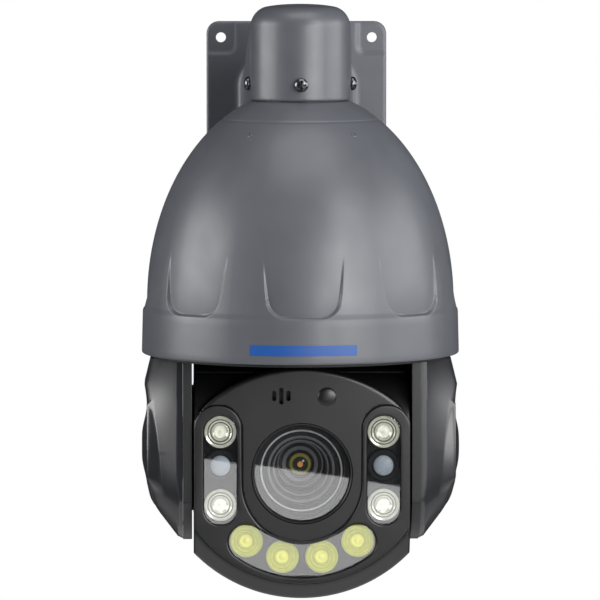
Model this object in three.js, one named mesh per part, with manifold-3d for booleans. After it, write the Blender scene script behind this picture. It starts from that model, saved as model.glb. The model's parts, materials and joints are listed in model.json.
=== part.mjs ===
// Wall-mounted pan-tilt-zoom dome camera, in millimetres, +Z up. Its back plate lies on the wall plane
// y = 0 and the camera looks along -Y. Inside the housing group, the pan axis is the line x = y = 0
// and z = 0 is the seam between the bracket's cup and the dome.
import * as THREE from "three";
import { mergeVertices } from "three/addons/utils/BufferGeometryUtils.js";
import Module from "manifold-3d";

const wasm = await Module();
wasm.setup();

// ---------------------------------------------------------------- driving dimensions

const GAP = 0.3; // between pieces that touch
const WALL = 3; // plastic casings
const FINE = 40; // sides of a large round surface
const MEDIUM = 20;
const COARSE = 12;

const axisToWall = 116;
const seamBelowPlateTop = 42.8;
const plate = { width: 107.5, height: 150, thickness: 6, corner: 7.5, holeRadius: 3 };
plate.holeX = plate.width / 2 - 8.6;
plate.holeZ = plate.height / 2 - 9.7;
const pad = { width: 15.6, height: 17.5, recess: 2 };
const cup = { radius: 29, bore: 25.5, boreDepth: 26, height: 55.2, crown: 9.5 };
const cupCavity = { radius: 22, top: 46, cornerWidth: 8, cornerHeight: 10 };
// The arm's sections, each at a distance y from the pan axis.
const armOutside = [
  { y: 0, halfWidth: 27, top: 50, bottom: 1 },
  { y: 32, halfWidth: 30.5, top: 50, bottom: 1 },
  { y: 62, halfWidth: 31.5, top: 43, bottom: -9 },
  { y: 92, halfWidth: 32.5, top: 29, bottom: -28 },
  { y: 111, halfWidth: 34.4, top: 20, bottom: -42 },
];
const armInside = [
  { y: 0, halfWidth: 21, top: 45, bottom: 28 },
  { y: 32, halfWidth: 25.5, top: 45, bottom: 28 },
  { y: 62, halfWidth: 27, top: 38, bottom: 4 },
  { y: 92, halfWidth: 28, top: 24, bottom: -20 },
  { y: 110, halfWidth: 29, top: 14, bottom: -32 },
];
const outlet = { width: 30, height: 24, corner: 8, z: -2 };
const neck = { radius: 24.7, bore: 18, height: 24, screwZ: 9.5, sealZ: 17.5 };
const dome = { radius: 88.9, height: 122.6, centreZ: -116.5, shoulderRadius: 28.6 };
const skirt = { top: -118, topRadius: 91.3, bottom: -146.3, radius: 92, innerRadius: 89, blendTop: -95 };
const petal = { count: 8, halfTop: 23.8, halfBottom: 18.5, top: -96, bottom: -120.4, corner: 9 };
const ledge = { radius: 74, top: -85, bottom: -91.7 };
const chassis = { radius: 83, thickness: 4, hubRadius: 27, hubTop: -87, postRadius: 3, screwCircle: 79 };
chassis.top = ledge.bottom - GAP;
chassis.bottom = chassis.top - chassis.thickness;
const board = { radius: 58, thickness: 1.6, bottom: -64, hole: 8, postCircle: 50 };
const panShaft = { radius: 15, bore: 9, top: -84, flangeRadius: 24 };
const panBearing = { outer: 22, split: 19, bottom: -95.5, top: -88.5 };
const panPulley = { radius: 30, bottom: -105, top: -98 };
const panMotor = { radius: 21, length: 25, offsetY: 48, pulleyRadius: 8, shaftRadius: 2.5 };
const belt = { thickness: 1.5, width: 5.4, clearance: 0.7 };

const turntable = { radius: 87, thickness: 4, bottom: -148 };
turntable.top = turntable.bottom + turntable.thickness;
const pivotZ = -201.9; // tilt axis below the seam
const turntableZ = turntable.bottom - pivotZ; // its underside above the tilt axis
const fork = { inner: 63.3, outer: 69.7, halfDepth: 46, bottomRadius: 53.2, bearingRadius: 18 };
const cover = { outer: 88.5, halfDepth: 45.2, bottomRadius: 52.6, chamfer: 20, wall: 2.6 };
const hub = { radius: 27, outer: 92, rim: 4 };
const trunnion = { radius: 10, flangeRadius: 36.6, innerX: 57, outerX: 81 };
const tiltPulley = { radius: 22, inner: 73, outer: 79 };
const tiltMotor = { radius: 17.5, inner: 38, outer: 66, footHalfWidth: 14 };
tiltMotor.pulleyRadius = 7.5;
tiltMotor.shaftRadius = 2.5;
tiltMotor.z = turntable.top + GAP + tiltMotor.radius + 2;

const head = { halfWidth: 62, face: -48, drumRadius: 50, split: -20 };
head.chinRadius = 86.5;
head.chinZ = 2.9;
head.chinBevel = 9;
const visor = { radius: 85, centreZ: -35.3, shoulderX: 50, podZ: 15.5, depth: 12 };
const tongue = { halfWidth: 34.5, radius: 34.3, z: -15.7 };
const pod = { x: 48.2, radius: 13.6 };
const bezel = { front: -49.6, back: -46.3, edgeRadius: 75.7, edgeZ: 2 };
const slotWindow = { x: 46.8, radius: 9.8, top: 13.7, bottom: -30.3 };
const whiteArc = { radius: 54.3, z: -5.4, ends: 36, inner: 44, outer: 64.1 };
const led = { radius: 9.4, front: -46.8, back: -34.3 };
led.infraredHeights = [13.8, -28.6];
led.whiteAngles = [-36, -12, 12, 36];
const sensor = { z: -6.2, radius: 9.1, capRadius: 6.3 };
const glass = { front: -49.1, back: -47.1 };
const ledBoard = { front: -34, back: -32.4, outerRadius: 72, halfWidth: 57.5, innerOffset: -1.5 };
const lens = { z: -10.5, boreRadius: 29.2, windowRadius: 27.3, windowFront: -38.5, windowBack: -36.5 };
const barrel = { radius: 24.5, front: -29.7, bore: 14.7, back: 30 };
barrel.steps = [23.2, 19.6, 16.2]; // radii of the mouth, one step after another
barrel.stepDepths = [6, 13, 22];
const cameraBody = { halfWidth: 25, halfHeight: 26, front: -16, back: 36 };
const zoomLens = { radius: 14.4, front: 5, back: 25, eyeRadius: 6.4 };
const soundSlots = { x: -11.5, z: 34.3, width: 2.1, pitch: 4.1, heights: [5.9, 9.7, 5.9] };
const photocell = { x: 14.3, z: 33.8, radius: 5.6, height: 1.6 };

const neckScrew = { radius: 2, headRadius: 4, headHeight: 2.8, length: 8 };
const smallScrew = { radius: 1.5, headRadius: 2.8, headHeight: 1.8, length: 7 };

// ---------------------------------------------------------------- materials

function material(color, roughness, metalness = 0, extra = {}) {
  return () => new THREE.MeshStandardMaterial({ color, roughness, metalness, ...extra });
}

const paintedGrey = material(0x5a5d62, 0.45, 0.3);
const darkGrey = material(0x35363a, 0.45, 0.1);
const black = material(0x151517, 0.4);
const rubber = material(0x0c0c0c, 0.9);
const steel = material(0xa8abb0, 0.3, 1);
const brass = material(0xb5964f, 0.35, 1);
const aluminium = material(0xb4b6b9, 0.45, 0.9);
const boardGreen = material(0x1f5a36, 0.6);
const clearGlass = material(0xcfd6da, 0.05, 0, { transparent: true, opacity: 0.3 });
const ledLens = material(0xd9dcd2, 0.15, 0, { transparent: true, opacity: 0.6 });
const phosphor = material(0xd9e05a, 0.35);
const frosted = material(0xb9c6d4, 0.5);

// ---------------------------------------------------------------- shape helpers

const X = new THREE.Vector3(1, 0, 0);
const Y = new THREE.Vector3(0, 1, 0);
const Z = new THREE.Vector3(0, 0, 1);
// A flat outline is drawn as (x, y), (x, z) or (y, z) and pushed along the remaining axis.
const outlineBasis = {
  z: new THREE.Matrix4(),
  y: new THREE.Matrix4().makeBasis(X, Z, Y.clone().negate()),
  x: new THREE.Matrix4().makeBasis(Y, Z, X),
};

function prism(outline, from, to, axis, curveSegments = 12) {
  const options = { depth: to - from, bevelEnabled: false, curveSegments };
  const geometry = new THREE.ExtrudeGeometry(outline, options);
  geometry.applyMatrix4(outlineBasis[axis]);
  const start = axis === "y" ? to : from;
  return geometry.translate(axis === "x" ? start : 0, axis === "y" ? start : 0, axis === "z" ? start : 0);
}

// A turned solid: profile points are (radius, distance along the axis), counter-clockwise.
function turned(profile, axis, sides = MEDIUM) {
  const points = profile.map(([radius, along]) => new THREE.Vector2(radius, along));
  const geometry = new THREE.LatheGeometry(points, sides);
  if (axis === "z") geometry.rotateX(Math.PI / 2);
  if (axis === "x") geometry.rotateZ(-Math.PI / 2);
  return geometry;
}

function rod(radius, from, to, axis, sides = COARSE) {
  return turned([[0, from], [radius, from], [radius, to], [0, to]], axis, sides);
}

function ring(inner, outer, from, to, axis, sides = MEDIUM) {
  return turned([[inner, from], [outer, from], [outer, to], [inner, to], [inner, from]], axis, sides);
}

function block(x0, x1, y0, y1, z0, z1) {
  const geometry = new THREE.BoxGeometry(x1 - x0, y1 - y0, z1 - z0);
  return geometry.translate((x0 + x1) / 2, (y0 + y1) / 2, (z0 + z1) / 2);
}

function roundedRectangle(halfWidth, halfHeight, corner, centreY = 0) {
  const right = halfWidth - corner;
  const top = centreY + halfHeight - corner;
  const bottom = centreY - halfHeight + corner;
  const outline = new THREE.Shape();
  outline.absarc(right, bottom, corner, -Math.PI / 2, 0);
  outline.absarc(right, top, corner, 0, Math.PI / 2);
  outline.absarc(-right, top, corner, Math.PI / 2, Math.PI);
  outline.absarc(-right, bottom, corner, Math.PI, 1.5 * Math.PI);
  return outline;
}

// The outline of a belt's inside or outside round two pulleys, one at the origin and one above it.
function beltOutline(lowRadius, highRadius, distance) {
  const lean = Math.asin((lowRadius - highRadius) / distance);
  const outline = new THREE.Shape();
  outline.absarc(0, 0, lowRadius, Math.PI - lean, 2 * Math.PI + lean);
  outline.absarc(0, distance, highRadius, lean, Math.PI - lean);
  return outline;
}

function beltLoop(lowRadius, highRadius, distance) {
  const outside = belt.clearance + belt.thickness;
  const loop = beltOutline(lowRadius + outside, highRadius + outside, distance);
  loop.holes.push(beltOutline(lowRadius + belt.clearance, highRadius + belt.clearance, distance));
  return loop;
}

// A closed skin through rings of points that all have the same number of points.
function loft(rings) {
  const count = rings[0].length;
  const positions = rings.flat();
  const faces = [];
  for (let r = 0; r < rings.length - 1; r++) {
    for (let i = 0; i < count; i++) {
      const next = (i + 1) % count;
      const [a, b] = [r * count + i, r * count + next];
      faces.push(a, b, b + count, a, b + count, a + count);
    }
  }
  for (let i = 1; i < count - 1; i++) {
    const last = (rings.length - 1) * count;
    faces.push(0, i + 1, i, last, last + i, last + i + 1);
  }
  const geometry = new THREE.BufferGeometry();
  geometry.setAttribute("position", new THREE.Float32BufferAttribute(positions.flat(), 3));
  return geometry.setIndex(faces);
}

function toSolid(geometry) {
  const bare = geometry.index ? geometry.toNonIndexed() : geometry.clone();
  bare.deleteAttribute("normal");
  bare.deleteAttribute("uv");
  const merged = mergeVertices(bare, 1e-4);
  const vertProperties = merged.attributes.position.array;
  const triVerts = new Uint32Array(merged.index.array);
  return new wasm.Manifold(new wasm.Mesh({ numProp: 3, vertProperties, triVerts }));
}

function toGeometry(solid) {
  const mesh = solid.getMesh();
  const geometry = new THREE.BufferGeometry();
  geometry.setAttribute("position", new THREE.BufferAttribute(mesh.vertProperties, 3));
  geometry.setIndex(new THREE.BufferAttribute(mesh.triVerts, 1));
  return geometry.toNonIndexed();
}

function combine(operation, first, others) {
  const total = others.reduce((sum, other) => sum[operation](toSolid(other)), toSolid(first));
  return toGeometry(total);
}

const join = (first, ...others) => combine("add", first, others);
const cut = (first, ...others) => combine("subtract", first, others);
const meet = (first, ...others) => combine("intersect", first, others);

function piece(group, name, geometry, makeMaterial) {
  geometry.computeVertexNormals();
  const mesh = new THREE.Mesh(geometry, makeMaterial());
  mesh.name = name;
  group.add(mesh);
  return mesh;
}

function place(geometry, x, y, z) {
  return geometry.translate(x, y, z);
}

const radians = THREE.MathUtils.degToRad;

// ---------------------------------------------------------------- fasteners

// A screw along +X whose head stands on x = 0.
function screw({ radius, headRadius, headHeight, length }) {
  const crown = headHeight * 0.6;
  const profile = [[0, -length], [radius, -length], [radius, 0], [headRadius, 0]];
  profile.push([headRadius, crown], [headRadius * 0.6, headHeight], [0, headHeight]);
  return turned(profile, "x", 8);
}

// ---------------------------------------------------------------- wall bracket

// One section of the arm, rounder than a box and squarer than an ellipse.
function armSection({ y, halfWidth, top, bottom }) {
  const points = [];
  const sides = 20;
  for (let i = 0; i < sides; i++) {
    const angle = (2 * Math.PI * i) / sides;
    const rounded = (value) => Math.sign(value) * Math.sqrt(Math.abs(value));
    const x = halfWidth * rounded(Math.cos(angle));
    const z = (top + bottom) / 2 + ((top - bottom) / 2) * rounded(Math.sin(angle));
    points.push([x, y, z]);
  }
  return points.reverse();
}

function wallBracket() {
  const plateFront = axisToWall - plate.thickness;
  const plateCentreZ = seamBelowPlateTop - plate.height / 2;
  const backing = roundedRectangle(plate.width / 2, plate.height / 2, plate.corner, plateCentreZ);
  const arm = loft(armOutside.map(armSection));
  const armHollow = loft(armInside.map(armSection));
  const crownPoints = [0, 0.25, 0.5, 0.75, 1].map((t) => {
    const angle = (t * Math.PI) / 2;
    const inset = cup.radius - cup.crown;
    return [inset + cup.crown * Math.cos(angle), cup.height - 1 - cup.crown * (1 - Math.sin(angle))];
  });
  const cupOutside = turned([[0, 0], [cup.radius, 0], ...crownPoints, [0, cup.height]], "z", FINE);
  const cavity = turned(
    [
      [0, -1],
      [cup.bore, -1],
      [cup.bore, cup.boreDepth],
      [cupCavity.radius, cup.boreDepth],
      [cupCavity.radius, cupCavity.top - cupCavity.cornerHeight],
      [cupCavity.radius - cupCavity.cornerWidth, cupCavity.top],
      [0, cupCavity.top],
    ],
    "z",
    FINE,
  );
  const cuts = [armHollow, cavity];
  const outletOutline = roundedRectangle(outlet.width / 2, outlet.height / 2, outlet.corner, outlet.z);
  cuts.push(prism(outletOutline, plateFront - 2, axisToWall + 1, "y", 4));
  for (const side of [-1, 1]) {
    for (const end of [-1, 1]) {
      const [x, z] = [side * plate.holeX, plateCentreZ + end * plate.holeZ];
      cuts.push(place(rod(plate.holeRadius, plateFront - 1, axisToWall + 1, "y"), x, 0, z));
      const padOutline = roundedRectangle(pad.width, pad.height, 3);
      const padCut = prism(padOutline, plateFront - 1, plateFront + pad.recess, "y", 3);
      const cornerX = side * (plate.width / 2);
      const cornerZ = plateCentreZ + (end * plate.height) / 2;
      cuts.push(place(padCut, cornerX, 0, cornerZ));
    }
  }
  for (const turn of [-90, 0, 90]) {
    const hole = rod(neckScrew.radius + GAP, neck.radius - 1, cup.radius + 1, "x", 8);
    cuts.push(place(hole.rotateZ(radians(turn - 90)), 0, 0, neck.screwZ));
  }
  const backPlate = prism(backing, plateFront, axisToWall, "y", 5);
  return cut(join(backPlate, arm, cupOutside), ...cuts);
}

// ---------------------------------------------------------------- dome shell

function domeRadius(z, sideWall = 0, topWall = 0) {
  const share = (z - dome.centreZ) / (dome.height - topWall);
  return (dome.radius - sideWall) * Math.sqrt(1 - share * share);
}

function domeHeight(radius, sideWall = 0, topWall = 0) {
  const share = radius / (dome.radius - sideWall);
  return dome.centreZ + (dome.height - topWall) * Math.sqrt(1 - share * share);
}

// Heights from low to high, closer together where the bell curves in towards the neck.
function bellHeights(low, high, steps) {
  const heights = [];
  for (let i = 0; i <= steps; i++) heights.push(low + (high - low) * Math.sin((Math.PI / 2) * (i / steps)));
  return heights;
}

function petalCutters() {
  const outline = new THREE.Shape();
  outline.moveTo(-petal.halfTop, petal.top);
  outline.lineTo(-petal.halfBottom, petal.bottom + petal.corner);
  const flat = petal.halfBottom - petal.corner;
  outline.quadraticCurveTo(-petal.halfBottom + 1, petal.bottom, -flat, petal.bottom);
  outline.lineTo(flat, petal.bottom);
  outline.quadraticCurveTo(petal.halfBottom - 1, petal.bottom, petal.halfBottom, petal.bottom + petal.corner);
  outline.lineTo(petal.halfTop, petal.top);
  const floorBottom = petal.bottom - 5;
  const floor = turned(
    [
      [0, floorBottom],
      [dome.radius - 0.2, floorBottom],
      [dome.radius, dome.centreZ],
      [domeRadius(petal.top), petal.top],
      [0, petal.top],
    ],
    "z",
    FINE,
  );
  const cutters = [];
  for (let i = 0; i < petal.count; i++) {
    const wedge = prism(outline, -skirt.radius - 4, -skirt.radius + 22, "y", 4);
    cutters.push(cut(wedge.rotateZ(radians((360 * i) / petal.count)), floor));
  }
  return cutters;
}

function domeShell() {
  const shoulderZ = domeHeight(dome.shoulderRadius);
  const bell = bellHeights(skirt.blendTop, shoulderZ, 8).map((z) => [domeRadius(z), z]);
  const outside = turned(
    [
      [0, skirt.bottom],
      [skirt.radius, skirt.bottom],
      [skirt.topRadius, skirt.top],
      ...bell,
      [neck.radius, shoulderZ],
      [neck.radius, neck.sealZ - 1.5],
      [neck.radius - 1.4, neck.sealZ - 1.5],
      [neck.radius - 1.4, neck.sealZ + 1.5],
      [neck.radius, neck.sealZ + 1.5],
      [neck.radius, neck.height],
      [0, neck.height],
    ],
    "z",
    FINE,
  );
  const boreZ = domeHeight(neck.bore, WALL, 5);
  const roof = bellHeights(ledge.top, boreZ, 4).map((z) => [domeRadius(z, WALL, 5), z]);
  const inside = turned(
    [
      [0, skirt.bottom - 1],
      [skirt.innerRadius, skirt.bottom - 1],
      [skirt.innerRadius, skirt.top - 6],
      [dome.radius - WALL, skirt.top - 4],
      [dome.radius - WALL, dome.centreZ],
      [domeRadius(ledge.bottom, WALL, 5), ledge.bottom],
      [ledge.radius, ledge.bottom],
      [ledge.radius, ledge.top],
      ...roof,
      [neck.bore, neck.height + 1],
      [0, neck.height + 1],
    ],
    "z",
    FINE,
  );
  const cuts = [inside, ...petalCutters()];
  for (const turn of [-90, 0, 90]) {
    const hole = rod(neckScrew.radius + GAP, neck.radius - 5.5, neck.radius + 1, "x", 8);
    cuts.push(place(hole.rotateZ(radians(turn - 90)), 0, 0, neck.screwZ));
  }
  for (const angle of chassisScrewAngles) {
    const hole = rod(smallScrew.radius + GAP, ledge.bottom - 1, ledge.bottom + 4, "z", 8);
    cuts.push(place(hole, chassis.screwCircle, 0, 0).rotateZ(radians(angle)));
  }
  return cut(outside, ...cuts);
}

// ---------------------------------------------------------------- fixed works inside the dome

const chassisScrewAngles = [30, 150, 270];

function chassisPlate() {
  const { radius, top, bottom, hubRadius, hubTop, postRadius, screwCircle } = chassis;
  const disc = rod(radius, bottom, top, "z", FINE);
  const hubBoss = rod(hubRadius, bottom, hubTop, "z");
  const posts = [45, 135, 315].map((angle) => {
    const post = rod(postRadius, bottom + 1, board.bottom - GAP, "z", 8);
    return place(post, board.postCircle, 0, 0).rotateZ(radians(angle));
  });
  const cuts = [rod(panBearing.outer + GAP, bottom - 1, hubTop + 1, "z", MEDIUM)];
  cuts.push(place(rod(6, bottom - 1, top + 1, "z", 8), 0, panMotor.offsetY, 0));
  for (const angle of chassisScrewAngles) {
    const hole = rod(smallScrew.radius + GAP, bottom - 1, top + 1, "z", 8);
    cuts.push(place(hole, screwCircle, 0, 0).rotateZ(radians(angle)));
  }
  return cut(join(disc, hubBoss, ...posts), ...cuts);
}

function panBelt() {
  const outline = beltLoop(panPulley.radius, panMotor.pulleyRadius, panMotor.offsetY);
  const low = (panPulley.bottom + panPulley.top - belt.width) / 2;
  return prism(outline, low, low + belt.width, "z", 6);
}

function addHousing(group) {
  piece(group, "wall_bracket", wallBracket(), paintedGrey);
  piece(group, "dome_shell", domeShell(), paintedGrey);
  const sealInner = neck.radius - 1.1;
  piece(group, "neck_seal", ring(sealInner, cup.bore - GAP, neck.sealZ - 1.1, neck.sealZ + 1.1, "z"), rubber);
  const neckScrews = { neck_screw_left: -180, neck_screw_front: -90, neck_screw_right: 0 };
  for (const [name, angle] of Object.entries(neckScrews)) {
    const geometry = place(screw(neckScrew), cup.radius + GAP, 0, 0).rotateZ(radians(angle));
    piece(group, name, place(geometry, 0, 0, neck.screwZ), steel);
  }
  piece(group, "chassis_plate", chassisPlate(), aluminium);
  chassisScrewAngles.forEach((angle, i) => {
    const upright = screw(smallScrew).rotateY(Math.PI / 2);
    const seated = place(upright, chassis.screwCircle, 0, chassis.bottom - GAP).rotateZ(radians(angle));
    piece(group, `chassis_screw_${i + 1}`, seated, steel);
  });
  const outerRace = ring(panBearing.split + GAP, panBearing.outer, panBearing.bottom, panBearing.top, "z");
  piece(group, "pan_bearing_outer_race", outerRace, steel);
  const motorBottom = chassis.top + GAP;
  const motor = rod(panMotor.radius, motorBottom, motorBottom + panMotor.length, "z", MEDIUM);
  piece(group, "pan_motor", place(motor, 0, panMotor.offsetY, 0), darkGrey);
  piece(group, "pan_belt", panBelt(), rubber);
  const boardDisc = ring(board.hole, board.radius, board.bottom, board.bottom + board.thickness, "z");
  piece(group, "main_board", boardDisc, boardGreen);
  piece(group, "slip_ring_stator", rod(12, panShaft.top + GAP, board.bottom - GAP, "z"), darkGrey);
}

function addPanMotorPulley(group) {
  const { pulleyRadius, shaftRadius, offsetY } = panMotor;
  const profile = [[0, panPulley.bottom], [pulleyRadius, panPulley.bottom], [pulleyRadius, panPulley.top]];
  profile.push([shaftRadius, panPulley.top], [shaftRadius, chassis.top], [0, chassis.top]);
  piece(group, "pan_motor_pulley", place(turned(profile, "z", COARSE), 0, offsetY, 0), brass);
}

// ---------------------------------------------------------------- yoke

function sideOutline(halfDepth, bottomRadius, top) {
  const meetZ = -Math.sqrt(bottomRadius ** 2 - halfDepth ** 2);
  const startAngle = Math.atan2(meetZ, -halfDepth);
  const outline = new THREE.Shape();
  outline.absarc(0, 0, bottomRadius, startAngle, -Math.PI - startAngle);
  outline.lineTo(halfDepth, top);
  outline.lineTo(-halfDepth, top);
  return outline;
}

function armFrame() {
  const outline = sideOutline(fork.halfDepth, fork.bottomRadius, turntableZ - GAP);
  const cuts = [rod(fork.bearingRadius + GAP, fork.inner - 1, fork.outer + 1, "x", MEDIUM)];
  const boltHole = rod(smallScrew.radius + GAP, turntableZ - 8, turntableZ, "z", 8);
  cuts.push(place(boltHole, armMiddleX, boltY, 0));
  cuts.push(place(rod(smallScrew.radius + GAP, fork.inner + 2, fork.outer + 1, "x", 8), 0, 0, coverScrewZ));
  return cut(prism(outline, fork.inner, fork.outer, "x", 8), ...cuts);
}

// The cover's outside, or its inside when it is shrunk by a wall: a full outline at the frame that
// slopes in to a smaller face. The outline runs on above the fork and is cut level with it.
function coverBody(shrink) {
  const back = fork.outer + GAP;
  const face = cover.outer - shrink;
  const far = turntableZ + 60;
  const rings = [
    [back, 0],
    [face - 1.5, cover.chamfer - 3],
    [face, cover.chamfer],
  ].map(([x, inset]) => {
    const depth = cover.halfDepth - shrink - inset;
    const outline = sideOutline(depth, cover.bottomRadius - shrink - inset, far);
    return outline.getPoints(9).map((p) => [x, p.x, p.y]);
  });
  return loft(rings);
}

function armCover() {
  const lid = block(fork.outer - 1, hub.outer + 1, -60, 60, turntableZ - GAP, turntableZ + 80);
  const hubDisc = turned(
    [
      [0, cover.outer - 4],
      [hub.radius, cover.outer - 4],
      [hub.radius, hub.outer - hub.rim + 1],
      [hub.radius - 2.5, hub.outer - 0.8],
      [hub.radius - 6, hub.outer],
      [0, hub.outer],
    ],
    "x",
    MEDIUM,
  );
  const shell = cut(join(coverBody(0), hubDisc), lid);
  const hollow = place(coverBody(cover.wall), -GAP, 0, 0);
  const screwHole = rod(smallScrew.radius + GAP, fork.outer - 1, hub.outer, "x", 8);
  const screwPost = rod(smallScrew.radius + 2.5, fork.outer + GAP, coverScrewSeat + 1, "x", 8);
  const hollowAroundPost = cut(hollow, place(screwPost, 0, 0, coverScrewZ));
  const headRoom = rod(smallScrew.headRadius + GAP, coverScrewSeat - GAP, hub.outer, "x", 8);
  const cuts = [place(screwHole, 0, 0, coverScrewZ), place(headRoom, 0, 0, coverScrewZ)];
  return cut(cut(shell, hollowAroundPost), ...cuts);
}

const armMiddleX = (fork.inner + fork.outer) / 2;
const boltY = 32;
const coverScrewZ = -44;
const coverScrewSeat = fork.outer + 3;

function turntablePlate() {
  const disc = rod(turntable.radius, turntable.bottom, turntable.top, "z", FINE);
  const [slotInner, slotOuter] = [tiltPulley.inner - 1.5, tiltPulley.outer + 1.5];
  const slot = block(slotInner, slotOuter, -16, 16, turntable.bottom - 1, turntable.top + 1);
  const cuts = [slot, rod(panShaft.bore, turntable.bottom - 1, turntable.top + 1, "z")];
  for (const side of [-1, 1]) {
    const hole = rod(smallScrew.radius + GAP, turntable.bottom - 1, turntable.top + 1, "z", 8);
    cuts.push(place(hole, side * armMiddleX, boltY, 0));
  }
  return cut(disc, ...cuts);
}

function tiltBelt() {
  const outline = beltLoop(tiltPulley.radius, tiltMotor.pulleyRadius, tiltMotor.z - pivotZ);
  const start = (tiltPulley.inner + tiltPulley.outer - belt.width) / 2;
  return place(prism(outline, start, start + belt.width, "x", 6), 0, 0, pivotZ);
}

function mirrored(geometry) {
  const flipped = geometry.index ? geometry.toNonIndexed() : geometry.clone();
  flipped.scale(-1, 1, 1);
  const position = flipped.attributes.position;
  const corner = new THREE.Vector3();
  const other = new THREE.Vector3();
  for (let i = 0; i < position.count; i += 3) {
    corner.fromBufferAttribute(position, i + 1);
    other.fromBufferAttribute(position, i + 2);
    position.setXYZ(i + 1, other.x, other.y, other.z);
    position.setXYZ(i + 2, corner.x, corner.y, corner.z);
  }
  return flipped;
}

function addYoke(group) {
  piece(group, "turntable", turntablePlate(), black);
  const shaftBottom = turntable.top + GAP;
  const shaft = turned(
    [
      [panShaft.bore, shaftBottom],
      [panShaft.flangeRadius, shaftBottom],
      [panShaft.flangeRadius, shaftBottom + 3],
      [panShaft.radius, shaftBottom + 3],
      [panShaft.radius, panShaft.top],
      [panShaft.bore, panShaft.top],
      [panShaft.bore, shaftBottom],
    ],
    "z",
  );
  piece(group, "pan_shaft", shaft, steel);
  const shaftClear = panShaft.radius + GAP;
  piece(group, "pan_pulley", ring(shaftClear, panPulley.radius, panPulley.bottom, panPulley.top, "z"), black);
  const innerRace = ring(shaftClear, panBearing.split, panBearing.bottom, panBearing.top, "z");
  piece(group, "pan_bearing_inner_race", innerRace, steel);
  piece(group, "slip_ring_rotor", rod(panShaft.bore - GAP, panShaft.top - 14, panShaft.top, "z"), darkGrey);
  const foot = block(
    tiltMotor.inner + 2,
    tiltMotor.outer - 2,
    -tiltMotor.footHalfWidth,
    tiltMotor.footHalfWidth,
    turntable.top + GAP,
    tiltMotor.z - 4,
  );
  const can = rod(tiltMotor.radius, tiltMotor.inner, tiltMotor.outer, "x", MEDIUM);
  piece(group, "tilt_motor", join(place(can, 0, 0, tiltMotor.z), foot), darkGrey);
  piece(group, "tilt_belt", tiltBelt(), rubber);

  const arms = new THREE.Group();
  arms.position.z = pivotZ;
  group.add(arms);
  const boltGeometry = screw(smallScrew).rotateY(-Math.PI / 2);
  const armPieces = {
    arm_frame: [armFrame(), darkGrey],
    arm_cover: [armCover(), darkGrey],
    hub_bearing: [
      ring(trunnion.radius + GAP, fork.bearingRadius, fork.inner + GAP, fork.outer - GAP, "x"),
      steel,
    ],
    arm_bolt: [place(boltGeometry, armMiddleX, boltY, turntableZ + turntable.thickness + GAP), steel],
    cover_screw: [place(screw({ ...smallScrew, length: 6 }), coverScrewSeat, 0, coverScrewZ), steel],
  };
  for (const [name, [geometry, makeMaterial]] of Object.entries(armPieces)) {
    piece(arms, `${name}_right`, geometry, makeMaterial);
    piece(arms, `${name}_left`, mirrored(geometry), makeMaterial);
  }
}

function addTiltMotorPulley(group) {
  const { pulleyRadius, shaftRadius, outer } = tiltMotor;
  const profile = [[0, outer + GAP], [shaftRadius, outer + GAP], [shaftRadius, tiltPulley.inner]];
  profile.push([pulleyRadius, tiltPulley.inner], [pulleyRadius, tiltPulley.outer], [0, tiltPulley.outer]);
  piece(group, "tilt_motor_pulley", place(turned(profile, "x", COARSE), 0, 0, tiltMotor.z), brass);
}

// ---------------------------------------------------------------- camera head

// The side view of the drum and chin, as (y, z): a drum about the tilt axis whose back sweeps
// down and forward to the chin.
function drumOutline(inset) {
  const drum = head.drumRadius - inset;
  const chinBottom = head.chinRadius - head.chinZ + 1;
  const outline = new THREE.Shape();
  outline.moveTo(head.face + inset, visor.podZ + 12 - inset);
  outline.lineTo(head.face + inset, -chinBottom);
  outline.lineTo(-28, -chinBottom);
  outline.absellipse(-28, 0, drum + 28, chinBottom - 1 - inset, -Math.PI / 2, 0);
  outline.absarc(0, 0, drum, 0, Math.PI - 0.62);
  return outline;
}

// The front view of the face plate, as (x, z): a broad arc on top that turns down over the pods.
function visorOutline(inset) {
  const { radius, centreZ, shoulderX, podZ } = visor;
  const side = head.halfWidth - inset;
  const shoulder = shoulderX - inset;
  const start = Math.acos(shoulder / (radius - inset));
  const shoulderZ = centreZ + (radius - inset) * Math.sin(start);
  const outline = new THREE.Shape();
  outline.moveTo(-side, podZ);
  outline.lineTo(-side, -100);
  outline.lineTo(side, -100);
  outline.lineTo(side, podZ);
  outline.quadraticCurveTo(side, shoulderZ - 7, shoulder, shoulderZ);
  outline.absarc(0, centreZ, radius - inset, start, Math.PI - start);
  outline.quadraticCurveTo(-side, shoulderZ - 7, -side, podZ);
  return outline;
}

function headBody(inset) {
  const side = head.halfWidth - inset;
  const drum = prism(drumOutline(inset), -side, side, "x", 10);
  const face = head.face + inset;
  const facePlate = prism(visorOutline(inset), face, head.face + visor.depth + inset, "y", 10);
  const chin = head.chinRadius - inset;
  const round = turned(
    [[0, face], [chin - head.chinBevel, face], [chin, face + head.chinBevel], [chin, 60], [0, 60]],
    "y",
    FINE,
  );
  return meet(join(drum, facePlate), place(round, 0, 0, head.chinZ));
}

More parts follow.
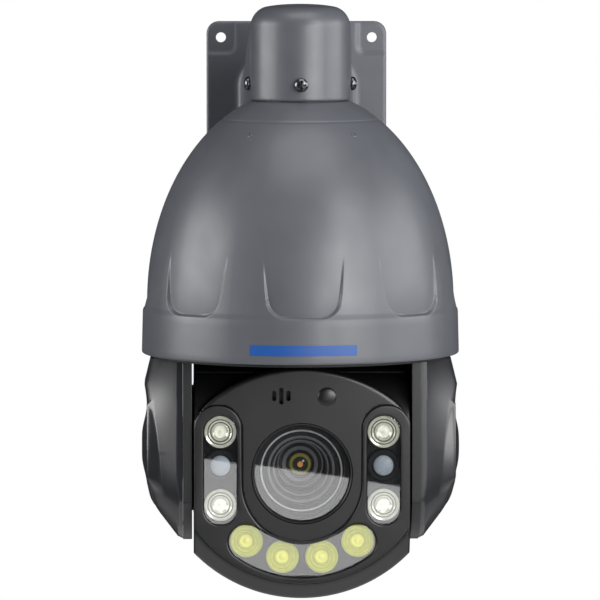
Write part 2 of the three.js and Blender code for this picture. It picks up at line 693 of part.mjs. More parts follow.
// The raised frame round the lamps, as (x, z): two pods joined by a band that follows the chin,
// open above the tongue that carries the lens.
function lampFrameOutline(halfWidth, edgeRadius, innerOffset) {
  const inner = tongue.halfWidth + innerOffset;
  const tongueRadius = tongue.radius + innerOffset;
  const podRadius = (halfWidth - inner) / 2;
  const podX = (halfWidth + inner) / 2;
  const podZ = visor.podZ;
  const edgeAngle = Math.acos(halfWidth / edgeRadius);
  const outline = new THREE.Shape();
  outline.moveTo(halfWidth, podZ);
  outline.absarc(podX, podZ, podRadius, 0, Math.PI);
  outline.absarc(0, tongue.z, tongueRadius, 0, -Math.PI, true);
  outline.absarc(-podX, podZ, podRadius, 0, Math.PI);
  outline.absarc(0, bezel.edgeZ, edgeRadius, Math.PI + edgeAngle, 2 * Math.PI - edgeAngle);
  return outline;
}

function stadiumOutline(side, shrink) {
  const { x, radius, top, bottom } = slotWindow;
  const outline = new THREE.Shape();
  outline.absarc(side * x, top, radius - shrink, 0, Math.PI);
  outline.absarc(side * x, bottom, radius - shrink, Math.PI, 2 * Math.PI);
  return outline;
}

function crescentOutline(shrink) {
  const { radius, z, ends, inner, outer } = whiteArc;
  const half = radians(ends);
  const down = -Math.PI / 2;
  const endRadius = (outer - inner) / 2 - shrink;
  const middle = (outer + inner) / 2;
  const endPoint = (angle) => [middle * Math.cos(angle), z + middle * Math.sin(angle)];
  const outline = new THREE.Shape();
  outline.absarc(0, z, outer - shrink, down - half, down + half);
  outline.absarc(...endPoint(down + half), endRadius, down + half, down + half + Math.PI);
  outline.absarc(0, z, inner + shrink, down + half, down - half, true);
  outline.absarc(...endPoint(down - half), endRadius, down - half + Math.PI, down - half + 2 * Math.PI);
  return outline;
}

function crescent(shrink, from, to) {
  const band = prism(crescentOutline(shrink), from, to, "y", 7);
  const tongueEnd = rod(tongue.radius + shrink, from - 1, to + 1, "y", MEDIUM);
  return cut(band, place(tongueEnd, 0, 0, tongue.z));
}

function lampOpenings(shrink, from, to) {
  const stadiums = [-1, 1].map((side) => prism(stadiumOutline(side, shrink), from, to, "y", 5));
  return [...stadiums, crescent(shrink, from, to)];
}

function frontShell() {
  const back = head.split - 0.9;
  const rearHalf = block(-80, 80, back, 80, -100, 100);
  const cuts = [rearHalf, headBody(WALL)];
  const recess = lampFrameOutline(pod.x + pod.radius + GAP, bezel.edgeRadius + 10, -GAP);
  cuts.push(prism(recess, head.face - 1, bezel.back + GAP, "y", 8));
  cuts.push(...lampOpenings(0, head.face - 1, head.face + 8));
  cuts.push(place(rod(lens.boreRadius, head.face - 1, head.face + 8, "y", MEDIUM), 0, 0, lens.z));
  soundSlots.heights.forEach((height, i) => {
    const slot = roundedRectangle(soundSlots.width / 2, height / 2, 1);
    const x = soundSlots.x + (i - 1) * soundSlots.pitch;
    cuts.push(place(prism(slot, head.face - 1, head.face + 5, "y", 2), x, 0, soundSlots.z));
  });
  const photocellHole = rod(photocell.radius - 1 + GAP, head.face - 1, head.face + 5, "y");
  cuts.push(place(photocellHole, photocell.x, 0, photocell.z));
  return cut(headBody(0), ...cuts);
}

function rearShell() {
  const frontHalf = block(-80, 80, -80, head.split + 0.9, -100, 100);
  const shaftHole = rod(trunnion.radius + GAP, -80, 80, "x", MEDIUM);
  return cut(headBody(0), frontHalf, headBody(WALL), shaftHole);
}

function headSeal() {
  const slab = block(-80, 80, head.split - 0.6, head.split + 0.6, -100, 100);
  return meet(cut(headBody(0.8), headBody(WALL - 0.3)), slab);
}

function lampBezel() {
  const outline = lampFrameOutline(pod.x + pod.radius, bezel.edgeRadius, GAP);
  const frame = prism(outline, bezel.front, bezel.back, "y", 8);
  return cut(frame, ...lampOpenings(0, bezel.front - 1, bezel.back + 1));
}

function lensHood() {
  const { boreRadius, windowRadius, windowFront, windowBack, z } = lens;
  const outer = boreRadius - 2 * GAP;
  const seat = windowRadius + GAP;
  const front = head.face + 0.5;
  const back = barrel.front - GAP;
  const profile = [[seat, front], [outer, front], [outer, back], [seat - 3, back]];
  profile.push([seat - 3, windowBack + GAP], [seat, windowBack + GAP], [seat, front]);
  return place(turned(profile, "y", FINE), 0, 0, z);
}

function cameraBlock() {
  const { halfWidth, halfHeight, front, back } = cameraBody;
  const body = block(-halfWidth, halfWidth, front, back, lens.z - halfHeight, lens.z + halfHeight);
  const tube = place(rod(barrel.radius, barrel.front, front + 1, "y", MEDIUM), 0, 0, lens.z);
  const profile = [[0, barrel.front - 1]];
  let stepStart = barrel.front - 1;
  barrel.steps.forEach((radius, i) => {
    const stepEnd = barrel.front + barrel.stepDepths[i];
    profile.push([radius, stepStart], [radius - 0.8, stepEnd]);
    stepStart = stepEnd;
  });
  profile.push([barrel.bore, stepStart], [barrel.bore, barrel.back], [0, barrel.back]);
  const bore = turned(profile, "y", MEDIUM);
  return cut(join(body, tube), place(bore, 0, 0, lens.z));
}

function zoomLensGroup() {
  const { radius, front, back, eyeRadius } = zoomLens;
  const profile = [[0, back], [0, front + 3], [eyeRadius, front + 4], [radius - 1.5, front], [radius, front]];
  profile.push([radius, back]);
  return place(turned([...profile.slice(1), profile[0]], "y", MEDIUM), 0, 0, lens.z);
}

// A lamp: a lens whose front is a shallow dome, on a body that narrows towards the board.
function lamp(x, z) {
  const { radius, front, back } = led;
  const profile = [[0, front + 0.4], [radius * 0.7, front], [radius, front + 1], [radius, front + 4]];
  profile.push([radius * 0.65, back], [0, back]);
  return place(turned(profile, "y", COARSE), x, 0, z);
}

function lightSensor(side) {
  const { radius, capRadius, z } = sensor;
  const front = led.front + 0.2;
  const profile = [[0, front], [capRadius * 0.8, front + 0.6], [capRadius, front + 2]];
  profile.push([capRadius, front + 4], [radius, front + 4], [radius, led.back], [0, led.back]);
  return place(turned(profile, "y", COARSE), side * slotWindow.x, 0, z);
}

function trunnionRight() {
  const { radius, flangeRadius, innerX, outerX } = trunnion;
  const flangeX = head.halfWidth + GAP;
  const flangeEnd = fork.inner - GAP;
  const profile = [[0, innerX], [radius, innerX], [radius, flangeX], [flangeRadius, flangeX]];
  profile.push([flangeRadius, flangeEnd], [radius, flangeEnd], [radius, outerX], [0, outerX]);
  return turned(profile, "x", MEDIUM);
}

function addHead(group) {
  piece(group, "head_front_shell", frontShell(), black);
  piece(group, "head_rear_shell", rearShell(), black);
  piece(group, "head_seal", headSeal(), rubber);
  piece(group, "lamp_bezel", lampBezel(), black);
  piece(group, "lens_hood", lensHood(), black);
  const window = rod(lens.windowRadius, lens.windowFront, lens.windowBack, "y", FINE);
  piece(group, "lens_window", place(window, 0, 0, lens.z), clearGlass);
  const [right, left] = [1, -1].map((side) => stadiumOutline(side, GAP));
  piece(group, "lamp_window_right", prism(right, glass.front, glass.back, "y", 5), clearGlass);
  piece(group, "lamp_window_left", prism(left, glass.front, glass.back, "y", 5), clearGlass);
  piece(group, "lamp_window_lower", crescent(GAP + 0.2, glass.front, glass.back), clearGlass);
  for (const [sideName, side] of [["left", -1], ["right", 1]]) {
    led.infraredHeights.forEach((z, i) => {
      const level = i === 0 ? "upper" : "lower";
      piece(group, `infrared_led_${sideName}_${level}`, lamp(side * slotWindow.x, z), ledLens);
    });
    piece(group, `light_sensor_${sideName}`, lightSensor(side), frosted);
  }
  led.whiteAngles.forEach((angle, i) => {
    const x = whiteArc.radius * Math.sin(radians(angle));
    const z = whiteArc.z - whiteArc.radius * Math.cos(radians(angle));
    piece(group, `white_led_${i + 1}`, lamp(x, z), phosphor);
  });
  const boardOutline = lampFrameOutline(ledBoard.halfWidth, ledBoard.outerRadius, ledBoard.innerOffset);
  piece(group, "lamp_board", prism(boardOutline, ledBoard.front, ledBoard.back, "y", 6), boardGreen);
  piece(group, "zoom_camera_block", cameraBlock(), darkGrey);
  const cellFront = head.face - photocell.height;
  const cell = turned(
    [
      [0, cellFront],
      [photocell.radius * 0.6, cellFront + 0.4],
      [photocell.radius, head.face - GAP],
      [photocell.radius - 1, head.face - GAP],
      [photocell.radius - 1, head.face + 5],
      [0, head.face + 5],
    ],
    "y",
    COARSE,
  );
  piece(group, "photocell", place(cell, photocell.x, 0, photocell.z), darkGrey);
  piece(group, "trunnion_right", trunnionRight(), steel);
  piece(group, "trunnion_left", mirrored(trunnionRight()), steel);
  const pulley = ring(trunnion.radius + GAP, tiltPulley.radius, tiltPulley.inner, tiltPulley.outer, "x");
  piece(group, "tilt_pulley", pulley, black);
}

// ---------------------------------------------------------------- assembly

const camera = new THREE.Group();
const housing = new THREE.Group();
housing.position.set(0, -axisToWall, plate.height / 2 - seamBelowPlateTop);
camera.add(housing);
addHousing(housing);
addPanMotorPulley(housing);

const yoke = new THREE.Group();
housing.add(yoke);
addYoke(yoke);
addTiltMotorPulley(yoke);

const cameraHead = new THREE.Group();
cameraHead.position.z = pivotZ;
yoke.add(cameraHead);
addHead(cameraHead);
piece(cameraHead, "zoom_lens_group", zoomLensGroup(), darkGrey);

export default camera;
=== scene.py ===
import json
import math

import bmesh
import bpy
import numpy as np
from mathutils import Matrix, Vector


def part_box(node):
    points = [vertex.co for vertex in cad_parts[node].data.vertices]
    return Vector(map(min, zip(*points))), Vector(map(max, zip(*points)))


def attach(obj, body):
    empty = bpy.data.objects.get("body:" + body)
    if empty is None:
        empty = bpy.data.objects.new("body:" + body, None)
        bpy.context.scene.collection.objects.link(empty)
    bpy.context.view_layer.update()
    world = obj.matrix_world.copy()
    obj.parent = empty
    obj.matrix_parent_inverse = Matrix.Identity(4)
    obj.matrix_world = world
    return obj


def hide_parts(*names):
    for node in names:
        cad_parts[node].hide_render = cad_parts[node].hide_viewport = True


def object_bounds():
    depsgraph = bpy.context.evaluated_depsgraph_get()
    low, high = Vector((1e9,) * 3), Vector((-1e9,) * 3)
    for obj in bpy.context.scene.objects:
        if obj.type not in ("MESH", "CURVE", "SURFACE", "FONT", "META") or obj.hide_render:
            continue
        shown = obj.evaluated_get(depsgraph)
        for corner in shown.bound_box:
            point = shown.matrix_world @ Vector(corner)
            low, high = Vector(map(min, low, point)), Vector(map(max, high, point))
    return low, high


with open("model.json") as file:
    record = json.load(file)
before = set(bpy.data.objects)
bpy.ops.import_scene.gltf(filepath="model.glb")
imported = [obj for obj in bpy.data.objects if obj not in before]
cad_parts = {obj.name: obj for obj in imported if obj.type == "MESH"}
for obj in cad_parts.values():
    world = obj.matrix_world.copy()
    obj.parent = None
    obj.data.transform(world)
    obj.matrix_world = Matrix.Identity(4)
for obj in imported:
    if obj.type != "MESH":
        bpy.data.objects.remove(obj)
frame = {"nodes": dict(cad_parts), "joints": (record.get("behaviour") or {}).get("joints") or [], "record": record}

cad_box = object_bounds()

# All shapes below are worked out in millimetres about an anchor and scaled once, when a mesh is made.
MM = 0.001
joints = {joint["name"]: joint for joint in frame["joints"]}
PIVOT = Vector(joints["tilt"]["pos_m"]) / MM
SEAM = PIVOT + Vector((0, 0, 201.9))  # where the cup meets the dome, on the pan axis
WALL_Y = -SEAM.y  # the wall's distance behind the pan axis
SIDES = (("left", -1), ("right", 1))


# ------------------------------------------------------------------ materials


class Nodes:
    """A short way to add nodes to one material and link them."""

    def __init__(self, name):
        self.material = bpy.data.materials.new(name)
        self.material.use_nodes = True
        self.tree = self.material.node_tree
        self.shader = self.tree.nodes["Principled BSDF"]

    def add(self, kind, inputs=None, **settings):
        node = self.tree.nodes.new(kind)
        for key, value in settings.items():
            setattr(node, key, value)
        for key, value in (inputs or {}).items():
            self.feed(node.inputs[key], value)
        return node

    def feed(self, socket, value):
        if isinstance(value, bpy.types.NodeSocket):
            self.tree.links.new(value, socket)
        else:
            socket.default_value = value

    def place(self):
        return self.add("ShaderNodeTexCoord").outputs["Object"]

    def noise(self, scale, detail=2.0, roughness=0.5):
        inputs = {"Vector": self.place(), "Scale": scale, "Detail": detail, "Roughness": roughness}
        return self.add("ShaderNodeTexNoise", inputs).outputs["Fac"]

    def spread(self, value, low, high):
        inputs = {"Value": value, "From Min": 0.3, "From Max": 0.7, "To Min": low, "To Max": high}
        return self.add("ShaderNodeMapRange", inputs).outputs["Result"]

    def shades(self, value, low, high):
        ramp = self.add("ShaderNodeValToRGB", {"Fac": value})
        ramp.color_ramp.elements[0].position = 0.3
        ramp.color_ramp.elements[0].color = (*low, 1)
        ramp.color_ramp.elements[1].position = 0.7
        ramp.color_ramp.elements[1].color = (*high, 1)
        return ramp.outputs["Color"]

    def bump(self, height, strength, distance):
        inputs = {"Height": height, "Strength": strength, "Distance": distance}
        return self.add("ShaderNodeBump", inputs).outputs["Normal"]

    def set(self, **values):
        for key, value in values.items():
            self.feed(self.shader.inputs[key.replace("_", " ")], value)
        return self.material


def tinted(colour, factor):
    return tuple(channel * factor for channel in colour)


def moulded(name, colour, roughness, grain=0.12, grain_scale=1400, coat=0.0, cloud=0.08):
    """Painted metal or moulded plastic: faint clouding, an uneven gloss and a fine grain."""
    nodes = Nodes(name)
    clouds = nodes.noise(18, 3)
    speck = nodes.noise(grain_scale, 2, 0.6)
    return nodes.set(
        Base_Color=nodes.shades(clouds, tinted(colour, 1 - cloud), tinted(colour, 1 + cloud)),
        Roughness=nodes.spread(nodes.noise(60, 4), roughness - 0.04, roughness + 0.05),
        Normal=nodes.bump(speck, grain, 0.00005),
        Coat_Weight=coat,
        Coat_Roughness=0.2,
    )


def metal(name, colour, roughness, ring_scale=900):
    """Turned or ground metal with fine marks round its surface."""
    nodes = Nodes(name)
    marks = nodes.noise(ring_scale, 3, 0.7)
    return nodes.set(
        Base_Color=nodes.shades(nodes.noise(90), tinted(colour, 0.85), tinted(colour, 1.08)),
        Metallic=1.0,
        Roughness=nodes.spread(marks, roughness - 0.06, roughness + 0.1),
        Normal=nodes.bump(marks, 0.15, 0.00003),
    )


def window_glass(name, alpha):
    """Thin flat glass: mostly clear, with a sharp reflection."""
    nodes = Nodes(name)
    return nodes.set(
        Base_Color=(0.015, 0.016, 0.018, 1),
        Roughness=nodes.spread(nodes.noise(40, 2), 0.01, 0.014),
        Alpha=alpha,
        IOR=2.0,
        Specular_IOR_Level=0.9,
    )


def painted_glow(name, colour, strength, roughness=0.35, metallic=0.0):
    """Emission that paints brightness on to a piece behind glass: painted glow standing in for reflected light,
    not light from a lit lamp.
    """
    nodes = Nodes(name)
    shade = nodes.shades(nodes.noise(420, 2), tinted(colour, 0.82), tinted(colour, 1.05))
    return nodes.set(
        Base_Color=shade,
        Emission_Color=shade,
        Emission_Strength=strength,
        Roughness=roughness,
        Metallic=metallic,
    )


def board_material(name, mask):
    """Solder mask with lighter copper runs under it."""
    nodes = Nodes(name)
    runs = nodes.add("ShaderNodeTexBrick", {"Vector": nodes.place(), "Scale": 160.0, "Mortar Size": 0.04})
    runs.inputs["Color1"].default_value = (*tinted(mask, 0.9), 1)
    runs.inputs["Color2"].default_value = (*tinted(mask, 1.1), 1)
    runs.inputs["Mortar"].default_value = (*tinted(mask, 1.8), 1)
    return nodes.set(
        Base_Color=runs.outputs["Color"],
        Roughness=nodes.spread(nodes.noise(200), 0.3, 0.45),
        Normal=nodes.bump(runs.outputs["Fac"], 0.3, 0.00004),
    )


PAINT = moulded("grey_powder_coat", (0.068, 0.072, 0.083), 0.42, grain=0.1, coat=0.08)
ARM = moulded("dark_grey_moulding", (0.014, 0.0145, 0.017), 0.32, coat=0.35)
FRAME = moulded("fork_moulding", (0.01, 0.0102, 0.011), 0.4)
BLACK = moulded("satin_black_moulding", (0.006, 0.006, 0.0068), 0.36, grain=0.08, coat=0.1)
# Matte black: the own finish of the black inner parts, and also painted shade on the walls of cut recesses and in
# the screws' cross recesses.
MATTE_BLACK_AND_RECESS_SHADE = moulded("matte_black_and_recess_shade", (0.004, 0.004, 0.0045), 0.6, grain=0.02, cloud=0.15)
RUBBER = moulded("black_rubber", (0.008, 0.008, 0.008), 0.75, grain=0.3, cloud=0.15)
BLUE = moulded("blue_print", (0.005, 0.055, 0.23), 0.45, grain=0.04)
SCREW = metal("zinc_screw", (0.13, 0.135, 0.145), 0.26)
STEEL = metal("ground_steel", (0.5, 0.51, 0.53), 0.28)
ALUMINIUM = metal("cast_aluminium", (0.55, 0.56, 0.57), 0.45, 500)
BRASS = metal("turned_brass", (0.62, 0.44, 0.18), 0.3)
BOARD = board_material("green_board", (0.013, 0.09, 0.038))
LAMP_BOARD = board_material("black_board", (0.006, 0.007, 0.007))
GLASS = window_glass("flat_glass", 0.25)
# Emission paints the infrared lamps' brightness: painted reflections on the silver rims and chips, and a weaker
# painted glow in the darker grooves between them.
SILVER = painted_glow("reflector_silver_painted_glow", (0.75, 0.77, 0.65), 0.6, 0.16, metallic=0.6)
INFRARED_CHIP = painted_glow("infrared_chip_painted_glow", (0.88, 0.9, 0.78), 0.78, 0.12)
LAMP_GROOVE = painted_glow("lamp_groove_painted_glow", (0.12, 0.125, 0.1), 0.4, 0.3)
# The yellow is the phosphor's own colour. The emission on it is painted glow that stands in for reflected light;
# these lamps are not lit.
PHOSPHOR = painted_glow("yellow_phosphor_painted_glow", (0.53, 0.56, 0.006), 0.32, 0.8)
PHOSPHOR_RING = painted_glow("phosphor_ring_painted_glow", (0.66, 0.68, 0.02), 0.36, 0.7)
PHOSPHOR_CHIP = painted_glow("phosphor_chip_painted_glow", (0.85, 0.85, 0.1), 0.5, 0.55)
# Emission paints a glow on the light sensors' frosted caps, which are no lamps.
FROST = painted_glow("frosted_cap", (0.4, 0.46, 0.52), 0.4, 0.28)
# Emission paints highlights on the lens barrel's ring edges, and a fainter painted glow on its dark steps.
RING_EDGE = painted_glow("lens_ring_edge_painted_highlight", (0.5, 0.5, 0.52), 0.5, 0.3)
RING_STEP = painted_glow("lens_ring_step_painted_glow", (0.15, 0.15, 0.157), 0.5, 0.35)
# The lens coatings' tints are painted on as emission: a painted reflection in the lens's middle, with the orange
# as a small painted glint.
COATINGS = [
    painted_glow("amber_coating_painted_reflection", (0.36, 0.31, 0.08), 0.4, 0.06),
    painted_glow("green_coating_painted_reflection", (0.03, 0.045, 0.015), 0.4, 0.05),
    painted_glow("orange_coating_painted_glint", (0.9, 0.4, 0.14), 0.6, 0.05),
]


# ------------------------------------------------------------------ making pieces


def placed(name, data):
    """A new object in the scene."""
    thing = bpy.data.objects.new(name, data)
    bpy.context.scene.collection.objects.link(thing)
    return thing


def make(name, vertices, faces, anchor, materials, slots=None):
    """One mesh object. vertices are in millimetres about the anchor."""
    points = (np.asarray(vertices, float) + np.array(anchor)) * MM
    mesh = bpy.data.meshes.new(name)
    mesh.from_pydata(points.tolist(), [], faces)
    for material in materials:
        mesh.materials.append(material)
    if slots is not None:
        mesh.polygons.foreach_set("material_index", np.asarray(slots, np.int32))
    mesh.shade_smooth()
    mesh.update()
    return placed(name, mesh)


def settle(piece, body, nodes):
    """Says which body the piece moves with and which CAD nodes it stands for, and hides those nodes."""
    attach(piece, body)
    if nodes:
        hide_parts(*nodes)
    return piece


def sharpen(piece, degrees=32):
    """Smooth shading that breaks at edges over an angle."""
    mesh = piece.data
    mesh.shade_smooth()
    mesh.set_sharp_from_angle(angle=math.radians(degrees))
    return piece


def grid_faces(rows, columns, close_rows=False):
    """Faces of a grid that is closed round its columns, and round its rows if asked."""
    faces = []
    for row in range(rows if close_rows else rows - 1):
        low = row * columns
        high = ((row + 1) % rows) * columns
        for column in range(columns):
            following = (column + 1) % columns
            faces.append((low + column, low + following, high + following, high + column))
    return faces


def turned(name, profile, axis, anchor, materials, sides=96, slots=None, closed=False):
    """A turned piece. profile holds (radius, distance along the axis) from its start to its end."""
    profile = np.asarray(profile, float)
    angles = circle_angles(sides)
    radius, along = profile[:, :1], np.repeat(profile[:, 1:], sides, axis=1)
    first, second = radius * np.cos(angles), radius * np.sin(angles)
    order = {"z": (first, second, along), "y": (second, along, first), "x": (along, first, second)}
    vertices = np.stack(order[axis], axis=-1).reshape(-1, 3)
    faces = grid_faces(len(profile), sides, closed)
    bands = [band for band in (slots or [0] * (len(profile) - 1)) for _ in range(sides)]
    if closed:
        bands += [0] * sides
    else:
        faces.append(tuple(range(sides))[::-1])
        faces.append(tuple(range((len(profile) - 1) * sides, len(profile) * sides)))
        bands += [bands[0], bands[-1]]
    piece = make(name, vertices, faces, anchor, materials, bands)
    return sharpen(outward(piece))


def outward(piece):
    """Turns every face of a closed mesh to point out."""
    work = bmesh.new()
    work.from_mesh(piece.data)
    bmesh.ops.remove_doubles(work, verts=work.verts, dist=1e-7)
    bmesh.ops.recalc_face_normals(work, faces=work.faces)
    work.to_mesh(piece.data)
    work.free()
    return piece


def circle_angles(count):
    return np.linspace(0, 2 * math.pi, count, endpoint=False)


def arc(x, y, radius, start, end, step=3.0):
    """Points along an arc, with its angles in degrees."""
    count = max(3, int(abs(end - start) / step) + 1)
    angles = np.radians(np.linspace(start, end, count))
    return [(x + radius * math.cos(a), y + radius * math.sin(a)) for a in angles]


def cap(radius, base, rise, count):
    """The profile of a domed front, from its edge to its middle."""
    angles = np.linspace(0, 1.56, count)
    return [(radius * math.cos(a), base - rise * math.sin(a)) for a in angles]


def rounded_box(half_width, half_height, corner, x=0.0, y=0.0):
    right, top = half_width - corner, half_height - corner
    points = arc(x + right, y + top, corner, 0, 90, 12)
    points += arc(x - right, y + top, corner, 90, 180, 12)
    points += arc(x - right, y - top, corner, 180, 270, 12)
    points += arc(x + right, y - top, corner, 270, 360, 12)
    return points


PLANES = {
    "xz": Matrix(((1, 0, 0, 0), (0, 0, -1, 0), (0, 1, 0, 0), (0, 0, 0, 1))),
    "yz": Matrix(((0, 0, 1, 0), (1, 0, 0, 0), (0, 1, 0, 0), (0, 0, 0, 1))),
    "xy": Matrix.Identity(4),
}


def sheet(name, loops, plane, near, far, bevel, anchor, material):
    """A flat piece with rounded edges. The first loop is its outline, and the others are holes."""
    curve = bpy.data.curves.new(name, "CURVE")
    curve.dimensions = "2D"
    curve.fill_mode = "BOTH"
    curve.extrude = abs(far - near) / 2 - bevel
    curve.bevel_depth = bevel
    curve.bevel_resolution = 2
    curve.offset = -bevel
    for loop in loops:
        spline = curve.splines.new("POLY")
        spline.points.add(len(loop) - 1)
        for point, (x, y) in zip(spline.points, loop):
            point.co = (x, y, 0, 1)
        spline.use_cyclic_u = True
    shape = bpy.data.objects.new(name, curve)
    mesh = bpy.data.meshes.new_from_object(shape)
    bpy.data.objects.remove(shape)
    mesh.transform(PLANES[plane])
    middle = (near + far) / 2
    offset = {"xz": (0, middle, 0), "yz": (middle, 0, 0), "xy": (0, 0, middle)}[plane]
    mesh.transform(Matrix.Translation(Vector(offset) + Vector(anchor)))
    mesh.transform(Matrix.Scale(MM, 4))
    mesh.name = name
    mesh.materials.clear()
    mesh.materials.append(material)
    return flat_faced(sharpen(outward(placed(name, mesh))))


def flat_faced(piece):
    """Keeps large flat faces flat beside their rounded edges."""
    weighted = piece.modifiers.new("weighted", "WEIGHTED_NORMAL")
    weighted.keep_sharp = True
    weighted.weight = 100
    return bake(piece)


def bake(piece):
    """Applies the piece's modifiers to its mesh."""
    graph = bpy.context.evaluated_depsgraph_get()
    mesh = bpy.data.meshes.new_from_object(piece.evaluated_get(graph))
    old = piece.data
    piece.modifiers.clear()
    piece.data = mesh
    mesh.name = piece.name
    bpy.data.meshes.remove(old)
    return piece


def carve(piece, *tools):
    """Cuts the tools out of the piece and throws them away."""
    for tool in tools:
        cut = piece.modifiers.new("cut", "BOOLEAN")
        cut.operation = "DIFFERENCE"
        cut.solver = "EXACT"
        cut.material_mode = "TRANSFER"
        cut.object = tool
        bake(piece)
        bpy.data.objects.remove(tool)
    return piece


def joined(name, pieces):
    """One object from several, keeping each one's materials."""
    materials, mesh, work = [], bpy.data.meshes.new(name), bmesh.new()
    for piece in pieces:
        offset = len(work.faces)
        work.from_mesh(piece.data)
        work.faces.ensure_lookup_table()
        slots = []
        for material in piece.data.materials:
            if material not in materials:
                materials.append(material)
            slots.append(materials.index(material))
        for face in work.faces[offset:]:
            face.material_index = slots[face.material_index]
        bpy.data.objects.remove(piece)
    work.to_mesh(mesh)
    work.free()
    for material in materials:
        mesh.materials.append(material)
    return placed(name, mesh)


# ------------------------------------------------------------------ smooth blended castings


def smooth_min(a, b, k):
    """The lesser of two fields, with a fillet of about k."""
    h = np.clip(0.5 + 0.5 * (b - a) / k, 0, 1)
    return b + (a - b) * h - k * h * (1 - h)


def smooth_max(a, b, k):
    return -smooth_min(-a, -b, k)


def rounded(a, b, radius):
    """Distance to a corner of the given radius, from distances past where its two sides start to curve."""
    outside = np.hypot(np.maximum(a, 0), np.maximum(b, 0))
    return outside + np.minimum(np.maximum(a, b), 0) - radius


def smoothstep(low, high, value):
    t = np.clip((value - low) / (high - low), 0, 1)
    return t * t * (3 - 2 * t)


def blended(name, field, low, high, cell, anchor, material):
    """The surface where a field is zero: a closed skin of cubes, pulled on to it."""
    axes = [np.arange(a - cell, b + 2 * cell, cell) for a, b in zip(low, high)]
    centres = np.stack(np.meshgrid(*axes, indexing="ij"), axis=-1)
    shape = centres.shape[:3]
    inside = field(centres.reshape(-1, 3)).reshape(shape) < 0
    faces_at = []
    for axis in range(3):
        for sign in (1, -1):
            beyond = np.roll(inside, -sign, axis=axis)
            cells = np.argwhere(inside & ~beyond)
            faces_at.append(face_corners(cells, axis, sign))
    corners = np.concatenate(faces_at)
    stride = np.array([(shape[1] + 2) * (shape[2] + 2), shape[2] + 2, 1])
    keys, index = np.unique((corners.reshape(-1, 3) * stride).sum(axis=1), return_inverse=True)
    grid = np.stack([keys // stride[0], keys % stride[0] // stride[1], keys % stride[1]], axis=1)
    start = np.array([axis[0] for axis in axes])
    points = start + (grid - 0.5) * cell
    faces = index.reshape(-1, 4)
    points = relaxed(points, faces, 3)
    points = pulled(points, field, cell)
    return make(name, points, faces.tolist(), anchor, [material])


def face_corners(cells, axis, sign):
    """The four grid corners of each cell's face on one side, wound to point out."""
    others = [a for a in range(3) if a != axis]
    ring = [(0, 0), (1, 0), (1, 1), (0, 1)]
    if (sign > 0) == (axis == 1):
        ring = ring[::-1]
    corners = np.repeat(cells[:, None, :], 4, axis=1)
    for i, (u, v) in enumerate(ring):
        corners[:, i, others[0]] += u
        corners[:, i, others[1]] += v
    corners[:, :, axis] += 1 if sign > 0 else 0
    return corners


def relaxed(points, faces, rounds):
    """Moves each point towards the middle of its neighbours."""
    ends = np.concatenate([faces[:, [i, (i + 1) % 4]] for i in range(4)])
    ends = np.concatenate([ends, ends[:, ::-1]])
    count = np.bincount(ends[:, 0], minlength=len(points))[:, None]
    for _ in range(rounds):
        total = np.stack(
            [np.bincount(ends[:, 0], points[ends[:, 1], axis], len(points)) for axis in range(3)],
            axis=1,
        )
        points = 0.5 * points + 0.5 * total / count
    return points


def pulled(points, field, cell):
    """Walks each point down the field's slope until the field is zero there."""
    reach = 0.02
    for _ in range(6):
        value = field(points)
        slope = np.stack(
            [field(points + step) - field(points - step) for step in np.eye(3) * reach], axis=1
        ) / (2 * reach)
        length = np.maximum((slope**2).sum(axis=1), 0.05)
        step = (value / length)[:, None] * slope
        points = points - np.clip(step, -cell, cell)
    return points


# ------------------------------------------------------------------ wall bracket


PLATE_HALF_WIDTH, PLATE_TOP, PLATE_HEIGHT = 53.75, 42.8, 150.0
PLATE_THICKNESS, PLATE_CORNER = 6, 7.5
PLATE_FRONT = WALL_Y - PLATE_THICKNESS
PLATE_MIDDLE = PLATE_TOP - PLATE_HEIGHT / 2
HOLE_RADIUS, HOLE_INSET_X, HOLE_INSET_Z = 3, 8.6, 9.7
PAD_WIDTH, PAD_HEIGHT, PAD_CORNER, PAD_DEPTH, PAD_STEP = 15.6, 17.5, 3, 1.0, 3.2
ARM_STATIONS = np.array([0, 32, 62, 92, PLATE_FRONT])  # distances behind the pan axis
ARM_HALF_WIDTH = [26.5, 29.5, 30.6, 31.6, 32.8]
ARM_TOP = [50, 50, 43, 29, 20]
ARM_BOTTOM = [1, 1, -9, -28, -42]
ARM_CORNER = 17.0
CUP_RADIUS, CUP_TOP, CROWN = 28.8, 55.4, 9.5
CUP_SAG = 0.0038  # how fast its top falls away from the middle, per square millimetre
CUP_BORE, CUP_BORE_DEPTH = 25.5, 26
CUP_REACH = 30  # the casting is cut off level with the cup's foot as far back as this


def arm_field(p):
    """A swan neck whose section is a rounded box that changes along y."""
    y = np.clip(p[:, 1], 0, PLATE_FRONT)
    half_width = smooth_curve(y, ARM_HALF_WIDTH)
    top, bottom = smooth_curve(y, ARM_TOP), smooth_curve(y, ARM_BOTTOM)
    half_height, middle = (top - bottom) / 2, (top + bottom) / 2
    across = np.maximum(np.abs(p[:, 0]) - half_width + ARM_CORNER, 0)
    up = np.maximum(np.abs(p[:, 2] - middle) - half_height + ARM_CORNER, 0)
    section = np.hypot(across, up) - ARM_CORNER
    ends = np.maximum(-p[:, 1], p[:, 1] - PLATE_FRONT - 2)
    return np.maximum(section, ends)


